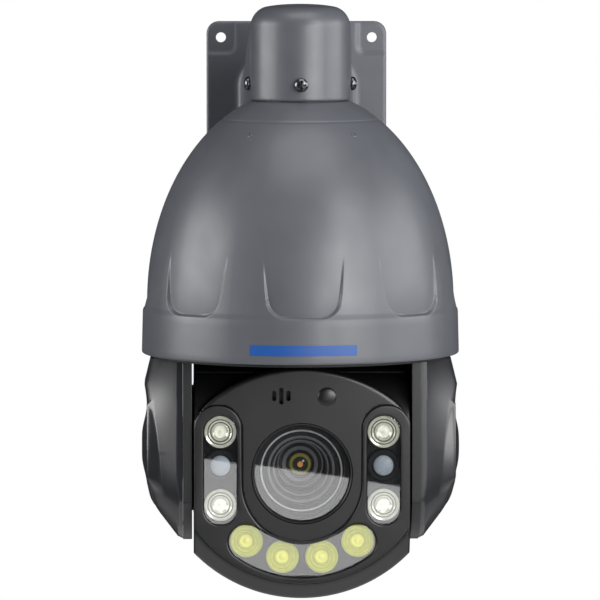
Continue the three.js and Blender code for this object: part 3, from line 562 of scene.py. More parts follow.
def smooth_curve(y, values):
    """Passes through the arm's stations without kinks."""
    slopes = np.gradient(np.array(values, float), ARM_STATIONS)
    cell = np.clip(np.searchsorted(ARM_STATIONS, y, side="right") - 1, 0, len(ARM_STATIONS) - 2)
    width = (ARM_STATIONS[1:] - ARM_STATIONS[:-1])[cell]
    t = (y - ARM_STATIONS[cell]) / width
    a, b = np.array(values, float)[cell], np.array(values, float)[cell + 1]
    m, n = slopes[cell] * width, slopes[cell + 1] * width
    return (
        (2 * t**3 - 3 * t**2 + 1) * a
        + (t**3 - 2 * t**2 + t) * m
        + (3 * t**2 - 2 * t**3) * b
        + (t**3 - t**2) * n
    )


def cup_field(p):
    """An upright cylinder with a broadly rounded crown and a slightly domed top."""
    radius = np.hypot(p[:, 0], p[:, 1])
    top = CUP_TOP - CUP_SAG * radius**2
    crown = rounded(radius - CUP_RADIUS + CROWN, p[:, 2] - top + CROWN, CROWN)
    return smooth_max(crown, -p[:, 2], 0.8)


def bracket_field(p):
    body = smooth_min(arm_field(p), cup_field(p), 7.0)
    foot = np.where(p[:, 1] < CUP_REACH, 0.0, -60.0)
    body = np.maximum(body, foot - p[:, 2])
    return smooth_min(body, plate_field(p), 5.0)


def plate_field(p):
    """A flat plate with round corners, softened edges and four sunk corner pads."""
    from_side = PLATE_HALF_WIDTH - np.abs(p[:, 0])
    from_end = PLATE_HEIGHT / 2 - np.abs(p[:, 2] - PLATE_MIDDLE)
    outline = rounded(PLATE_CORNER - from_side, PLATE_CORNER - from_end, PLATE_CORNER)
    pad_across = from_side - PAD_WIDTH + PAD_CORNER
    pad_up = from_end - PAD_HEIGHT + PAD_CORNER
    pad = np.hypot(np.maximum(pad_across, 0), np.maximum(pad_up, 0)) - PAD_CORNER
    front = PLATE_FRONT + PAD_DEPTH * (1 - smoothstep(0, PAD_STEP, pad))
    slab = np.maximum(front - p[:, 1], p[:, 1] - WALL_Y)
    return smooth_max(outline, slab, 1.6)


def build_bracket():
    low = (-PLATE_HALF_WIDTH, -CUP_RADIUS, PLATE_TOP - PLATE_HEIGHT)
    high = (PLATE_HALF_WIDTH, WALL_Y, CUP_TOP)
    bracket = blended("wall_bracket_casting", bracket_field, low, high, 1.0, SEAM, PAINT)
    hole_x, hole_z = PLATE_HALF_WIDTH - HOLE_INSET_X, PLATE_HEIGHT / 2 - HOLE_INSET_Z
    profile = [(HOLE_RADIUS, PLATE_FRONT - 2), (HOLE_RADIUS, WALL_Y + 2)]
    tools = []
    for x in (-hole_x, hole_x):
        for z in (PLATE_MIDDLE - hole_z, PLATE_MIDDLE + hole_z):
            tools.append(turned("hole", profile, "y", SEAM + Vector((x, 0, z)), [PAINT], 40))
    outlet = [(x, y - 2) for x, y in rounded_box(15, 12, 8)]
    # The outlet cutter's matte black carries on to the outlet's walls as painted shade.
    tools.append(sheet("outlet", [outlet], "xz", PLATE_FRONT - 30, WALL_Y + 5, 0.01, SEAM, MATTE_BLACK_AND_RECESS_SHADE))
    bore = [(CUP_BORE, -3), (CUP_BORE, CUP_BORE_DEPTH)]
    tools.append(turned("bore", bore, "z", SEAM, [PAINT], 96))
    carve(bracket, *tools)
    return settle(sharpen(bracket, 40), "housing", ["wall_bracket"])


# ------------------------------------------------------------------ dome


BELL_RADIUS, BELL_HEIGHT, BELL_CENTRE = 88.9, 122.6, -116.5
SKIRT_TOP, SKIRT_BOTTOM, SKIRT_RADIUS, SKIRT_TOP_RADIUS = -118.0, -146.3, 92.0, 91.3
PETAL_TOP, PETAL_BOTTOM, PETAL_HALF_WIDTH, PETAL_FLARE, PETAL_CORNER = -85.0, -120.4, 18.8, 5.2, 9.5
PETALS = 8
NECK_RADIUS, NECK_TOP, NECK_OPENING = 24.7, 24, 18
GROOVE_Z, GROOVE_DEPTH, GROOVE_HALF = -11.2, 0.5, 0.5
LIP = 1.2


def bell(z, wall=0.0, roof=0.0):
    """The bell's radius at a height, outside or a wall's thickness in."""
    share = np.clip((z - BELL_CENTRE) / (BELL_HEIGHT - roof), -1, 1)
    return (BELL_RADIUS - wall) * np.sqrt(1 - share**2)


def petal_depth(side, z):
    """How far inside a petal a point is, in millimetres; side is its distance from the middle line."""
    rise = z - PETAL_BOTTOM
    half = PETAL_HALF_WIDTH + PETAL_FLARE * np.clip(rise / 35, 0, 1) ** 0.8
    return -rounded(np.abs(side) - half + PETAL_CORNER, PETAL_CORNER - rise, PETAL_CORNER)


def dome_surface(angle, z):
    """The bell's outside radius, with petals pressed into the band above the skirt."""
    base = bell(z)
    proud = np.clip((PETAL_TOP - z) / (PETAL_TOP - SKIRT_TOP), 0, 1) ** 1.25
    envelope = base + (SKIRT_TOP_RADIUS - bell(np.array(SKIRT_TOP))) * proud
    sector = 2 * math.pi / PETALS
    side = ((angle + sector / 2) % sector - sector / 2) * BELL_RADIUS
    inside = smoothstep(-0.35, 0.75, petal_depth(side, z))
    return envelope + (base - envelope) * inside


def dome_angles():
    """Angles round the dome, closer together at the petals' sides."""
    sector, edge = 2 * math.pi / PETALS, 23.0 / BELL_RADIUS
    shares = [0, 0.25, 0.45, *np.linspace(0.55, 0.95, 22)]
    shares += [*np.linspace(0.97, 1.05, 7), *np.linspace(1.08, 1.2, 5)]
    half = [share * edge for share in shares] + [sector / 2]
    steps = np.array([-angle for angle in half[:0:-1]] + half[:-1])
    return np.concatenate([sector * i - math.pi / 2 + steps for i in range(PETALS)])


def build_dome():
    angles = dome_angles()
    shoulder_radius = 28.6
    shoulder = BELL_CENTRE + BELL_HEIGHT * math.sqrt(1 - (shoulder_radius / BELL_RADIUS) ** 2)
    rows = []

    def row(radius, z):
        rows.append((np.full(len(angles), radius, float), np.full(len(angles), z, float)))

    for radius, z in [(NECK_OPENING, NECK_TOP), (NECK_RADIUS, NECK_TOP), (NECK_RADIUS, shoulder)]:
        row(radius, z)
    heights = [*np.linspace(shoulder, -9.6, 8), *np.linspace(-9.9, -12.5, 12), *np.linspace(-13.5, -84, 34)]
    for z in heights:
        groove = GROOVE_DEPTH * math.exp(-(((z - GROOVE_Z) / GROOVE_HALF) ** 2))
        row(float(bell(z)) - groove, z)
    for z in [*np.linspace(PETAL_TOP, -106, 20), *np.linspace(-106.5, SKIRT_TOP - 3, 34)]:
        level = np.full(len(angles), z)
        rows.append((dome_surface(angles + math.pi / 2, level), level))
    for z in np.linspace(SKIRT_TOP - 4, SKIRT_BOTTOM + LIP, 8):
        share = (SKIRT_TOP - z) / (SKIRT_TOP - SKIRT_BOTTOM)
        row(SKIRT_TOP_RADIUS + (SKIRT_RADIUS - SKIRT_TOP_RADIUS) * share, z)
    for radius, z in arc(SKIRT_RADIUS - LIP, SKIRT_BOTTOM + LIP, LIP, 0, -90, 22)[1:]:
        row(radius, z)
    skirt_bore, bell_bore = 89, 85.9
    row(skirt_bore + 0.4, SKIRT_BOTTOM)
    for radius, z in [(skirt_bore, SKIRT_BOTTOM + 0.4), (skirt_bore, -124), (bell_bore, -122)]:
        row(radius, z)
    row(bell_bore, BELL_CENTRE)
    for z in np.linspace(-91.7, -3, 24):
        row(float(bell(z, wall=3, roof=5)), z)
    row(NECK_OPENING, -1)
    radius = np.array([r for r, _ in rows])
    height = np.array([z for _, z in rows])
    vertices = np.stack([radius * np.cos(angles), radius * np.sin(angles), height], axis=-1)
    faces = grid_faces(len(rows), len(angles), close_rows=True)
    dome = make("dome_casting", vertices.reshape(-1, 3), faces, SEAM, [PAINT])
    return settle(sharpen(outward(dome), 50), "housing", ["dome_shell"])


def build_plugs():
    """Two small blanking plugs on the bell's shoulder."""
    height, azimuth = -18.3, 34
    radius = float(bell(height))
    profile = [(0.01, -1.5), (1.7, -1.5), (1.7, 0.1), (1.4, 0.35), (1.0, 0.35), (0.8, -0.5), (0.01, -0.6)]
    for side, sign in SIDES:
        turn = math.radians(sign * azimuth)
        centre = SEAM + Vector((radius * math.sin(turn), -radius * math.cos(turn), height))
        steepness = (radius / BELL_RADIUS**2) / ((height - BELL_CENTRE) / BELL_HEIGHT**2)
        upright = Vector((steepness * math.sin(turn), -steepness * math.cos(turn), 1))
        plug = turned(f"bell_plug_{side}", profile, "z", (0, 0, 0), [PAINT], 32)
        stand(plug, centre, upright)
        settle(plug, "housing", [])


def stand(piece, centre, upright):
    """Turns a piece made along +Z to point another way, and moves it to its centre."""
    turn = Vector((0, 0, 1)).rotation_difference(Vector(upright)).to_matrix().to_4x4()
    piece.data.transform(Matrix.Translation(Vector(centre) * MM) @ turn)


def build_badge():
    """A plain blue printed bar on the front of the skirt."""
    half_angle, height, low = 0.335, 6.0, -141.2
    inner, outer = SKIRT_RADIUS - 0.32, SKIRT_RADIUS
    section = [(inner, low), (inner, low + height), (outer, low + height), (outer, low)]
    angles = np.linspace(-half_angle, half_angle, 61) - math.pi / 2
    vertices = [(radius * math.cos(a), radius * math.sin(a), z) for a in angles for radius, z in section]
    faces = grid_faces(len(angles), len(section))
    faces += [tuple(range(4)), tuple(range(len(vertices) - 4, len(vertices)))]
    badge = make("blue_badge_bar", vertices, faces, SEAM, [BLUE])
    return settle(sharpen(outward(badge)), "housing", [])


# ------------------------------------------------------------------ screws


def pan_screw(name, node, centre, outwards, body, radius, height):
    """A domed pan head with a cross recess whose faces are painted dark as painted shade, on the shank that the
    CAD screw has.
    """
    low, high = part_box(node)
    shank = max(high - low) / MM - height
    sides = 96
    angles = circle_angles(sides)
    profile = [(0.01, -shank), (radius / 2, -shank), (radius / 2, 0), (radius - 0.2, 0), (radius, 0.25)]
    rings = [(np.full(sides, ring), np.full(sides, along)) for ring, along in profile]
    recess_shaded = [np.zeros(sides, bool)] * len(profile)
    slot_half, slot_reach, slot_depth, slot_slope = 0.13 * radius, 0.66 * radius, 0.5 * height, 0.12
    for share in np.linspace(1, 0.02, 36):
        crown = height * (0.3 + 0.7 * math.sqrt(1 - share**2))
        x, y = radius * share * np.cos(angles), radius * share * np.sin(angles)
        arm = np.maximum(np.minimum(np.abs(x), np.abs(y)) - slot_half, np.hypot(x, y) - slot_reach)
        sunk = slot_depth * smoothstep(slot_slope, -slot_slope, arm)
        rings.append((np.full(sides, radius * share), crown - sunk))
        recess_shaded.append(arm < 0)
    vertices = [(r * np.cos(angles), r * np.sin(angles), along) for r, along in rings]
    vertices = np.stack([np.stack(ring, axis=-1) for ring in vertices]).reshape(-1, 3)
    faces = grid_faces(len(rings), sides)
    # The cross recess's faces get matte black as painted shade; the screw's metal is the same there.
    slots = [int(dark) for ring in recess_shaded[1:] for dark in ring] + [0, 1]
    faces.append(tuple(range(sides)))
    faces.append(tuple(range((len(rings) - 1) * sides, len(rings) * sides)))
    screw = make(name, vertices, faces, (0, 0, 0), [SCREW, MATTE_BLACK_AND_RECESS_SHADE], slots)
    stand(outward(screw), centre, outwards)
    return settle(sharpen(screw, 40), body, [node])


def build_screws():
    reach, z = 29.3, 9.5
    neck_head, neck_head_height = 4, 3.4
    cover_head, cover_head_height = 2.8, 1.8
    directions = {"left": (-1, 0, 0), "front": (0, -1, 0), "right": (1, 0, 0)}
    for side, outwards in directions.items():
        centre = SEAM + Vector(outwards) * reach + Vector((0, 0, z))
        name = f"neck_screw_{side}"
        pan_screw(f"{name}_pan_head", name, centre, outwards, "housing", neck_head, neck_head_height)
    for side, sign in SIDES:
        centre = PIVOT + Vector((sign * COVER_SCREW_SEAT, 0, COVER_SCREW_Z))
        name = f"cover_screw_{side}"
        pan_screw(f"{name}_pan_head", name, centre, (sign, 0, 0), "yoke", cover_head, cover_head_height)


# ------------------------------------------------------------------ yoke


FORK_TOP, FORK_HALF, FORK_BOTTOM, FORK_INNER = 53.6, 46, 53.2, 63.0
TRUNNION_HOLE = 18.3
HUB_Z = 1.5
COVER_SCREW_SEAT, COVER_SCREW_Z, COVER_BACK = 72.7, -44.0, 68.3
COVER_HALF, COVER_BOTTOM, CHAMFER = 45.2, 52.6, 1.2
COVER_RIM, RIM_SLOPE = 70.3, 0.764  # the lower edge's distance out, and how steeply the face leaves it
COVER_FACE = 89.0
RIDGE_FOOT, RIDGE_TOP, RIDGE_RISE, RIDGE_FALL = 27, 38.3, 1.4, 0.24
FAR = 1e9


def fork_outline():
    """Straight sides over a round bottom end."""
    edge = math.degrees(math.acos(FORK_HALF / FORK_BOTTOM))
    bottom = arc(0, 0, FORK_BOTTOM, 180 + edge, 360 - edge, 2)
    return [(-FORK_HALF, FORK_TOP), *bottom, (FORK_HALF, FORK_TOP)]


def build_fork(side, sign):
    loops = [fork_outline(), arc(0, 0, TRUNNION_HOLE, 0, 357, 6)]
    name = f"arm_frame_{side}"
    low, high = sorted((sign * FORK_INNER, sign * (COVER_BACK - 0.05)))
    plate = sheet(f"{name}_plate", loops, "yz", low, high, 0.35, PIVOT, FRAME)
    return settle(plate, "yoke", [name])


def cover_height(y, z):
    """How far out the arm cover's face stands: sloped edges, a ridge on top and a round hub."""
    side_inset = COVER_HALF - np.abs(y)
    below = COVER_BOTTOM - np.hypot(y, np.minimum(z, 0))
    steepness = 0.9 - 0.32 * (z / 50) ** 2
    flank = COVER_RIM + 0.9 + steepness * side_inset
    lower = np.where(z < 0, np.maximum(COVER_RIM - 0.5 + RIM_SLOPE * below, COVER_RIM), FAR)
    slope = smooth_min(flank, lower, 4.0)
    climb = np.clip((z - RIDGE_FOOT) / (RIDGE_TOP - RIDGE_FOOT), 0, 1) ** 1.5
    ridge = RIDGE_RISE * climb - RIDGE_FALL * np.maximum(z - RIDGE_TOP, 0)
    droop = 0.18 * np.maximum(-19 - z, 0)
    body = smooth_min(slope, COVER_FACE + ridge - droop, 2.0)
    dome = 2.9 * (1 - smoothstep(6, 24, np.hypot(y, z - HUB_Z)))
    face = COVER_FACE + 0.1 + dome - droop
    disc = np.hypot(0.93 * y, 0.5 * (z + 6))
    wall = np.minimum((30.7 - disc) * 3.4, (30.2 - z) * 3.0) + 83.5
    underside = COVER_RIM + RIM_SLOPE * (COVER_BOTTOM - np.hypot(y, z)) + 0.08 * np.maximum(z + 24, 0) ** 2
    hub = smooth_min(smooth_min(face, wall, 2.2), underside, 5.0)
    return np.maximum(body, hub)


def cover_reach(cosine, sine):
    """How far the cover's face goes from the hub's centre in each direction, up to its chamfer."""
    least = 0.02
    to_side = COVER_HALF / np.maximum(np.abs(cosine), least)
    to_top = np.where(sine > least, (FORK_TOP - HUB_Z) / np.maximum(sine, least), FAR)
    rise = sine * HUB_Z
    to_bottom = -rise + np.sqrt(rise**2 + COVER_BOTTOM**2 - HUB_Z**2)
    to_bottom = np.where(HUB_Z + to_bottom * sine < 0, to_bottom, FAR)
    return np.minimum(np.minimum(to_side, to_bottom) - CHAMFER, to_top)


def build_cover(side, sign):
    """Rings of points that spread from the hub's circle to the cover's outline."""
    columns, hub_radius = 240, 36
    angles = circle_angles(columns)
    cosine, sine = np.cos(angles), np.sin(angles)
    limit = cover_reach(cosine, sine)
    inner = np.concatenate([np.linspace(0.02, 25, 26), np.linspace(25.5, hub_radius, 34)])
    share = 1 - (1 - np.linspace(0, 1, 30)[1:]) ** 1.4
    rings = [np.full(columns, radius) for radius in inner]
    rings += [hub_radius + (limit - hub_radius) * s for s in share]
    radius = np.array(rings)
    y, z = radius * cosine, HUB_Z + radius * sine
    x = cover_height(y, z)
    rim_y, rim_z = y[-1], z[-1]
    layers = [(x, y, z)]
    for outwards, down in ((0.25, 0.3), (1.0, 0.9)):
        wide = 1 + outwards * CHAMFER / limit
        drop = down * (x[-1] - COVER_BACK)
        low_z = np.minimum(wide * (rim_z - HUB_Z) + HUB_Z, FORK_TOP)
        layers.append(((x[-1] - drop)[None], (wide * rim_y)[None], low_z[None]))
    layers.append((np.full((1, columns), COVER_BACK), layers[-1][1], layers[-1][2]))
    x, y, z = (np.concatenate(parts) for parts in zip(*layers))
    vertices = np.stack([sign * x, y, z], axis=-1).reshape(-1, 3)
    faces = grid_faces(len(x), columns)
    last = (len(x) - 1) * columns
    faces.append(tuple(range(columns)))
    faces.append(tuple(range(last, last + columns)))
    name = f"arm_cover_{side}"
    cover = make(f"{name}_shell", vertices, faces, PIVOT, [ARM])
    outward(cover)
    well = turned("well", [(3.3, COVER_SCREW_SEAT), (3.3, 95)], "z", (0, 0, 0), [ARM], 32)
    stand(well, PIVOT + Vector((0, 0, COVER_SCREW_Z)), (sign, 0, 0))
    carve(cover, outward(well))
    return settle(sharpen(cover, 40), "yoke", [name])


def build_turntable():
    bottom, thickness = 53.9, 4
    disc_radius, shaft_radius = 87, 9
    disc = arc(0, 0, disc_radius, 0, 357, 3)
    hole = arc(0, 0, shaft_radius, 0, 350, 10)
    slot = rounded_box(4.5, 16, 2, 76, 0)
    loops = [disc, hole, slot]
    plate = sheet("turntable_disc", loops, "xy", bottom, bottom + thickness, 0.5, PIVOT, MATTE_BLACK_AND_RECESS_SHADE)
    return settle(plate, "yoke", ["turntable"])


# ------------------------------------------------------------------ camera head


HEAD_HALF, FACE, DRUM, CHIN, CHIN_Z = 62.0, -48.0, 50.0, 86.5, 2.9
SPLIT, SPLIT_GAP, HEAD_WALL = -20.0, 0.45, 3.0
BOSS_RADIUS, BOSS_DEPTH = 38, 0.27
BACK_START, BACK_DEPTH, BACK_DROP = -28, 78, 84.5  # the chin's back is a quarter of an ellipse
VISOR_RADIUS, VISOR_Z, VISOR_DEPTH = 85.0, -35.3, 12
CHIN_BEVEL = 9
POD_X, POD_Z, POD_RADIUS = 48.2, 15.5, 13.6
TONGUE_HALF, TONGUE_RADIUS, TONGUE_Z = 34.5, 34.3, -15.7
SLOT_X, SLOT_RADIUS, SLOT_TOP, SLOT_BOTTOM = 46.8, 9.8, 13.7, -30.3
ARC_RADIUS, ARC_Z, ARC_ENDS, ARC_INNER, ARC_OUTER = 54.3, -5.4, 36, 44.0, 65.2
LENS_Z = -10.5
BEZEL_EDGE, BEZEL_EDGE_Z = 75.7, 2.0
LENS_ANCHOR = PIVOT + Vector((0, 0, LENS_Z))
MODULE_LOW, MODULE_HIGH = (-25, -16, -36.5), (25, 36, 15.5)
WHITE_LAMP_SCALE, INFRARED_LAMP_SCALE = 1.06, 1.03  # against the lamp's drawn rings
LAMP_BACK = -34.5


def head_field(p):
    """A drum on the tilt axis, a chin that hangs from it and a face plate with an arched top."""
    x, y, z = p[:, 0], p[:, 1], p[:, 2]
    boss = BOSS_DEPTH * smoothstep(BOSS_RADIUS, BOSS_RADIUS - 1, np.hypot(y, z))
    side = np.abs(x) - HEAD_HALF - boss
    drum = np.hypot(y, z) - DRUM
    behind = np.maximum(y - BACK_START, 0) / BACK_DEPTH
    back = (np.hypot(behind, z / BACK_DROP) - 1) * 80
    chin = np.maximum(back, z - 10)
    body = smooth_max(smooth_min(drum, chin, 4.0), side, 1.0)
    visor = smooth_max(np.hypot(x, z - VISOR_Z) - VISOR_RADIUS, side, 9.0)
    visor = np.maximum(visor, y - FACE - VISOR_DEPTH)
    whole = smooth_min(body, visor, 0.6)
    outside_chin = np.hypot(x, z - CHIN_Z) - CHIN
    whole = np.maximum(whole, outside_chin)
    whole = smooth_max(whole, (outside_chin + CHIN_BEVEL - (y - FACE)) / math.sqrt(2), 2.0)
    return smooth_max(whole, FACE - y, 1.6)


def shell_half(low_y, high_y):
    """One half of the hollow casing, between two planes."""

    def field(p):
        gap = np.maximum(low_y - p[:, 1], p[:, 1] - high_y)
        skin = head_field(p)
        return smooth_max(np.maximum(skin, -skin - HEAD_WALL), gap, 0.8)

    return field


def lamp_frame_outline(half_width, edge_radius, inner_offset):
    """The raised frame round the lamps: two pods joined by a band that follows the chin."""
    inner = TONGUE_HALF + inner_offset
    pod_radius, pod_x = (half_width - inner) / 2, (half_width + inner) / 2
    edge = math.degrees(math.acos(half_width / edge_radius))
    points = arc(pod_x, POD_Z, pod_radius, 0, 180, 5)
    points += arc(0, TONGUE_Z, TONGUE_RADIUS + inner_offset, 0, -180, 3)
    points += arc(-pod_x, POD_Z, pod_radius, 0, 180, 5)
    points += arc(0, BEZEL_EDGE_Z, edge_radius, 180 + edge, 360 - edge, 2)
    return points


def stadium(sign, shrink=0.0):
    points = arc(sign * SLOT_X, SLOT_TOP, SLOT_RADIUS - shrink, 0, 180, 6)
    return points + arc(sign * SLOT_X, SLOT_BOTTOM, SLOT_RADIUS - shrink, 180, 360, 6)


def crescent(shrink=0.0):
    """The lower window: a band under the tongue with round ends, its middle cut by the tongue."""
    middle, end_radius = (ARC_OUTER + ARC_INNER) / 2, (ARC_OUTER - ARC_INNER) / 2 - shrink
    left, right = -90 - ARC_ENDS, -90 + ARC_ENDS

    def end(angle, start):
        x, z = middle * math.cos(math.radians(angle)), ARC_Z + middle * math.sin(math.radians(angle))
        return arc(x, z, end_radius, start, start + 180, 8)

    points = arc(0, ARC_Z, ARC_OUTER - shrink, left, right, 2) + end(right, right)
    for x, z in arc(0, ARC_Z, ARC_INNER + shrink, right, left, 2):
        floor = TONGUE_Z - math.sqrt(max((TONGUE_RADIUS + shrink) ** 2 - x * x, 0))
        points.append((x, min(z, floor)))
    return points + end(left, left + 180)


def build_shells():
    low, high = (-HEAD_HALF, FACE, -84), (HEAD_HALF, DRUM, 52)
    front_half, rear_half = shell_half(-60, SPLIT - SPLIT_GAP), shell_half(SPLIT + SPLIT_GAP, 60)
    front = blended("head_front_casing", front_half, low, high, 0.85, PIVOT, BLACK)
    rear = blended("head_rear_casing", rear_half, low, high, 1.1, PIVOT, BLACK)
    recess = lamp_frame_outline(POD_X + POD_RADIUS + 0.25, BEZEL_EDGE + 0.3, -0.3)
    cutters = [sheet("recess", [recess], "xz", FACE - 3, -46.2, 0.01, PIVOT, BLACK)]
    # The pockets', lens bore's and sound slots' cutters carry matte black on to their walls, as painted shade in
    # those recesses.
    for loop in (stadium(-1), stadium(1), crescent()):
        cutters.append(sheet("pocket", [loop], "xz", FACE - 3, -33, 0.01, PIVOT, MATTE_BLACK_AND_RECESS_SHADE))
    cutters.append(turned("bore", [(29.2, FACE - 3), (29.2, -22)], "y", LENS_ANCHOR, [MATTE_BLACK_AND_RECESS_SHADE], 128))
    slot_half, slot_pitch, slots_x, slots_z = 1.25, 4.1, -11.9, 34.3
    for i, height in enumerate((5.9, 9.7, 5.9)):
        slot = rounded_box(slot_half, height / 2, 1.2, slots_x + (i - 1) * slot_pitch, slots_z)
        cutters.append(sheet("sound_slot", [slot], "xz", FACE - 3, FACE + 9, 0.01, PIVOT, MATTE_BLACK_AND_RECESS_SHADE))
    carve(front, *cutters)
    settle(sharpen(front, 35), "camera_head", ["head_front_shell"])
    return settle(sharpen(rear, 40), "camera_head", ["head_rear_shell"])


def build_bezel():
    outline = lamp_frame_outline(POD_X + POD_RADIUS, BEZEL_EDGE, 0.3)
    loops = [outline, stadium(-1)[::-1], stadium(1)[::-1], crescent()[::-1]]
    bezel = sheet("lamp_bezel_frame", loops, "xz", -49.6, -46.3, 0.7, PIVOT, BLACK)
    return settle(bezel, "camera_head", ["lamp_bezel"])


def build_windows():
    loops = {"left": stadium(-1, 0.3), "right": stadium(1, 0.3), "lower": crescent(0.5)}
    for side, loop in loops.items():
        name = f"lamp_window_{side}"
        pane = sheet(f"{name}_pane", [loop], "xz", -49.1, -47.6, 0.25, PIVOT, GLASS)
        settle(pane, "camera_head", [name])


def build_lens():
    hood_profile = [
        (28.6, -47.2), (28.9, -46.9), (28.9, -30), (24.6, -30), (24.6, -36.2), (27.6, -36.2),
        (27.6, -41), (27.9, -41.5), (27.9, -46.9), (28.2, -47.2),
    ]
    hood = turned("lens_hood_ring", hood_profile, "y", LENS_ANCHOR, [BLACK], 160, closed=True)
    settle(hood, "camera_head", ["lens_hood"])
    edge = 0.3
    near, far, radius = -44.6, -42.8, 27.3
    pane_profile = [(0.01, near), (radius - edge, near), (radius, near + edge), (radius, far), (0.01, far)]
    pane = turned("lens_window_pane", pane_profile, "y", LENS_ANCHOR, [GLASS], 128)
    settle(pane, "camera_head", ["lens_window"])
    build_camera_block()
    build_zoom_group()


def build_camera_block():
    """A zoom module: a plain body and a barrel whose mouth steps in ring by ring, with painted highlights on the
    ring edges and painted glow on the steps.
    """
    body = blended("zoom_module", module_field, MODULE_LOW, MODULE_HIGH, 1.2, PIVOT, MATTE_BLACK_AND_RECESS_SHADE)
    outline = [(24.5, -14), (24.5, -29.7)]
    bands = [1]
    front = -29.7
    for radius, lip, depth, slot in ((23.6, 0.9, 8, 2), (19.4, 1.4, 7, 3), (16.2, 0.9, 7, 3)):
        outline += [(radius, front), (radius - lip, front + 0.1), (radius - lip - 0.9, front + depth)]
        bands += [1, slot, 1]
        front += depth
    outline += [(14.9, front), (14.7, 29), (0.5, 29), (0.5, 30), (18, 30)]
    bands += [1, 0, 0, 0, 0]
    materials = [MATTE_BLACK_AND_RECESS_SHADE, BLACK, RING_EDGE, RING_STEP]
    barrel = turned("barrel", outline, "y", LENS_ANCHOR, materials, 128, bands, closed=True)
    carve(body, turned("room", [(24.6, -20), (24.6, 31)], "y", LENS_ANCHOR, [MATTE_BLACK_AND_RECESS_SHADE], 64))
    block = joined("zoom_camera_module", [body, barrel])
    return settle(block, "camera_head", ["zoom_camera_block"])


def module_field(p):
    """Distance to a box with rounded edges."""
    low, high, corner = np.array(MODULE_LOW), np.array(MODULE_HIGH), 2.5
    q = np.abs(p - (low + high) / 2) - (high - low) / 2 + corner
    outside = np.linalg.norm(np.maximum(q, 0), axis=1)
    return outside + np.minimum(q.max(axis=1), 0) - corner


def build_zoom_group():
    """The moving lens cell, with a domed coated glass in its mouth. Its coating bands and ring steps are painted
    reflection and painted glow from emission.
    """
    glass = [(6.4 * math.sin(a), 7.2 - 2.4 * math.cos(a)) for a in np.linspace(1.45, 0.002, 12)]
    rings = [(0.01, 25), (14.4, 25), (14.4, 5), (13.4, 5), (12.6, 6), (10.6, 6.2), (10.4, 7), (8.4, 7.4)]
    rings += [(8.2, 8.4), (6.6, 8.6), *glass]
    bands = [0, 0, 0, 3, 1, 1, 3, 1, 1, 1] + [4] * 5 + [5] * 4 + [6] * 2
    materials = [MATTE_BLACK_AND_RECESS_SHADE, BLACK, RING_EDGE, RING_STEP, *COATINGS]
    cell = turned("zoom_lens_cell", rings, "y", LENS_ANCHOR, materials, 96, bands)
    return settle(cell, "zoom_group", ["zoom_lens_group"])


def lamp(name, node, x, z, white):
    """A lamp seen from the front as rings: a rim, a groove, a bright cone, a groove and a dish. Their brightness
    is painted glow from emission, not a lit lamp.
    """
    rings = [
        ((8.9, -45.9), 1), ((8.5, -46.5), 1), ((7.5, -46.3), 1), ((7.2, -45.9), 2), ((6.9, -45.3), 2),
        ((6.6, -46.0), 1), ((6.3, -46.3), 1), ((5.7, -45.9), 2), ((5.4, -44.9), 2), ((5.1, -44.9), 1),
        ((4.9, -45.5), 1), ((4.5, -45.8), 1), ((3.4, -44.9), 3), ((2.4, -44.3), 3), ((1.8, -44.3), 3),
    ]
    crown = [(1.8 * math.sin(a), -43.9 - 1.5 * math.cos(a)) for a in np.linspace(1.1, 0.004, 6)]
    scale = WHITE_LAMP_SCALE if white else INFRARED_LAMP_SCALE
    profile = [(0.01, LAMP_BACK), (8.9, LAMP_BACK), *[point for point, _ in rings], *crown]
    profile = [(radius * scale, depth) for radius, depth in profile]
    bands = [0, 0, *[band for _, band in rings], 3, 3, 3, 3, 3]
    if white:
        materials = [MATTE_BLACK_AND_RECESS_SHADE, PHOSPHOR, PHOSPHOR_RING, PHOSPHOR_CHIP]
    else:
        materials = [MATTE_BLACK_AND_RECESS_SHADE, SILVER, LAMP_GROOVE, INFRARED_CHIP]
    anchor = PIVOT + Vector((x, 0, z))
    piece = turned(name, profile, "y", anchor, materials, 64, bands)
    return settle(piece, "camera_head", [node])


def build_lamps():
    for side, sign in SIDES:
        for level, z in (("upper", 13.4), ("lower", -28.6)):
            node = f"infrared_led_{side}_{level}"
            lamp(f"{node}_lens", node, sign * SLOT_X, z, white=False)
        node = f"light_sensor_{side}"
        dome = cap(5.7, -44.4, 2.0, 8)
        profile = [(0.01, LAMP_BACK), (9.1, LAMP_BACK), (9.1, -43), (8.7, -43.4), (7.4, -43.4), (7.2, -42.6)]
        profile += [(5.7, -42.6), *dome]
        bands = [0, 0, 0, 0, 0, 0] + [1] * len(dome)
        anchor = PIVOT + Vector((sign * SLOT_X, 0, -6.2))
        # The frosted dome's glow is painted light.
        sensor = turned(f"{node}_cap", profile, "y", anchor, [MATTE_BLACK_AND_RECESS_SHADE, FROST], 64, bands)
        settle(sensor, "camera_head", [node])
    for i, angle in enumerate((-36, -12, 12, 36)):
        x = ARC_RADIUS * math.sin(math.radians(angle))
        z = ARC_Z - ARC_RADIUS * math.cos(math.radians(angle))
        node = f"white_led_{i + 1}"
        lamp(f"{node}_lens", node, x, z, white=True)


def build_photocell():
    profile = [(0.01, -43), (4.6, -43), (4.6, -47.9), (5.4, -47.9), *cap(5.4, FACE, 1.4, 9)]
    anchor = PIVOT + Vector((14.3, 0, 33.8))
    cell = turned("photocell_cap", profile, "y", anchor, [BLACK], 64)
    return settle(cell, "camera_head", ["photocell"])


# ------------------------------------------------------------------ CAD pieces that keep their shape


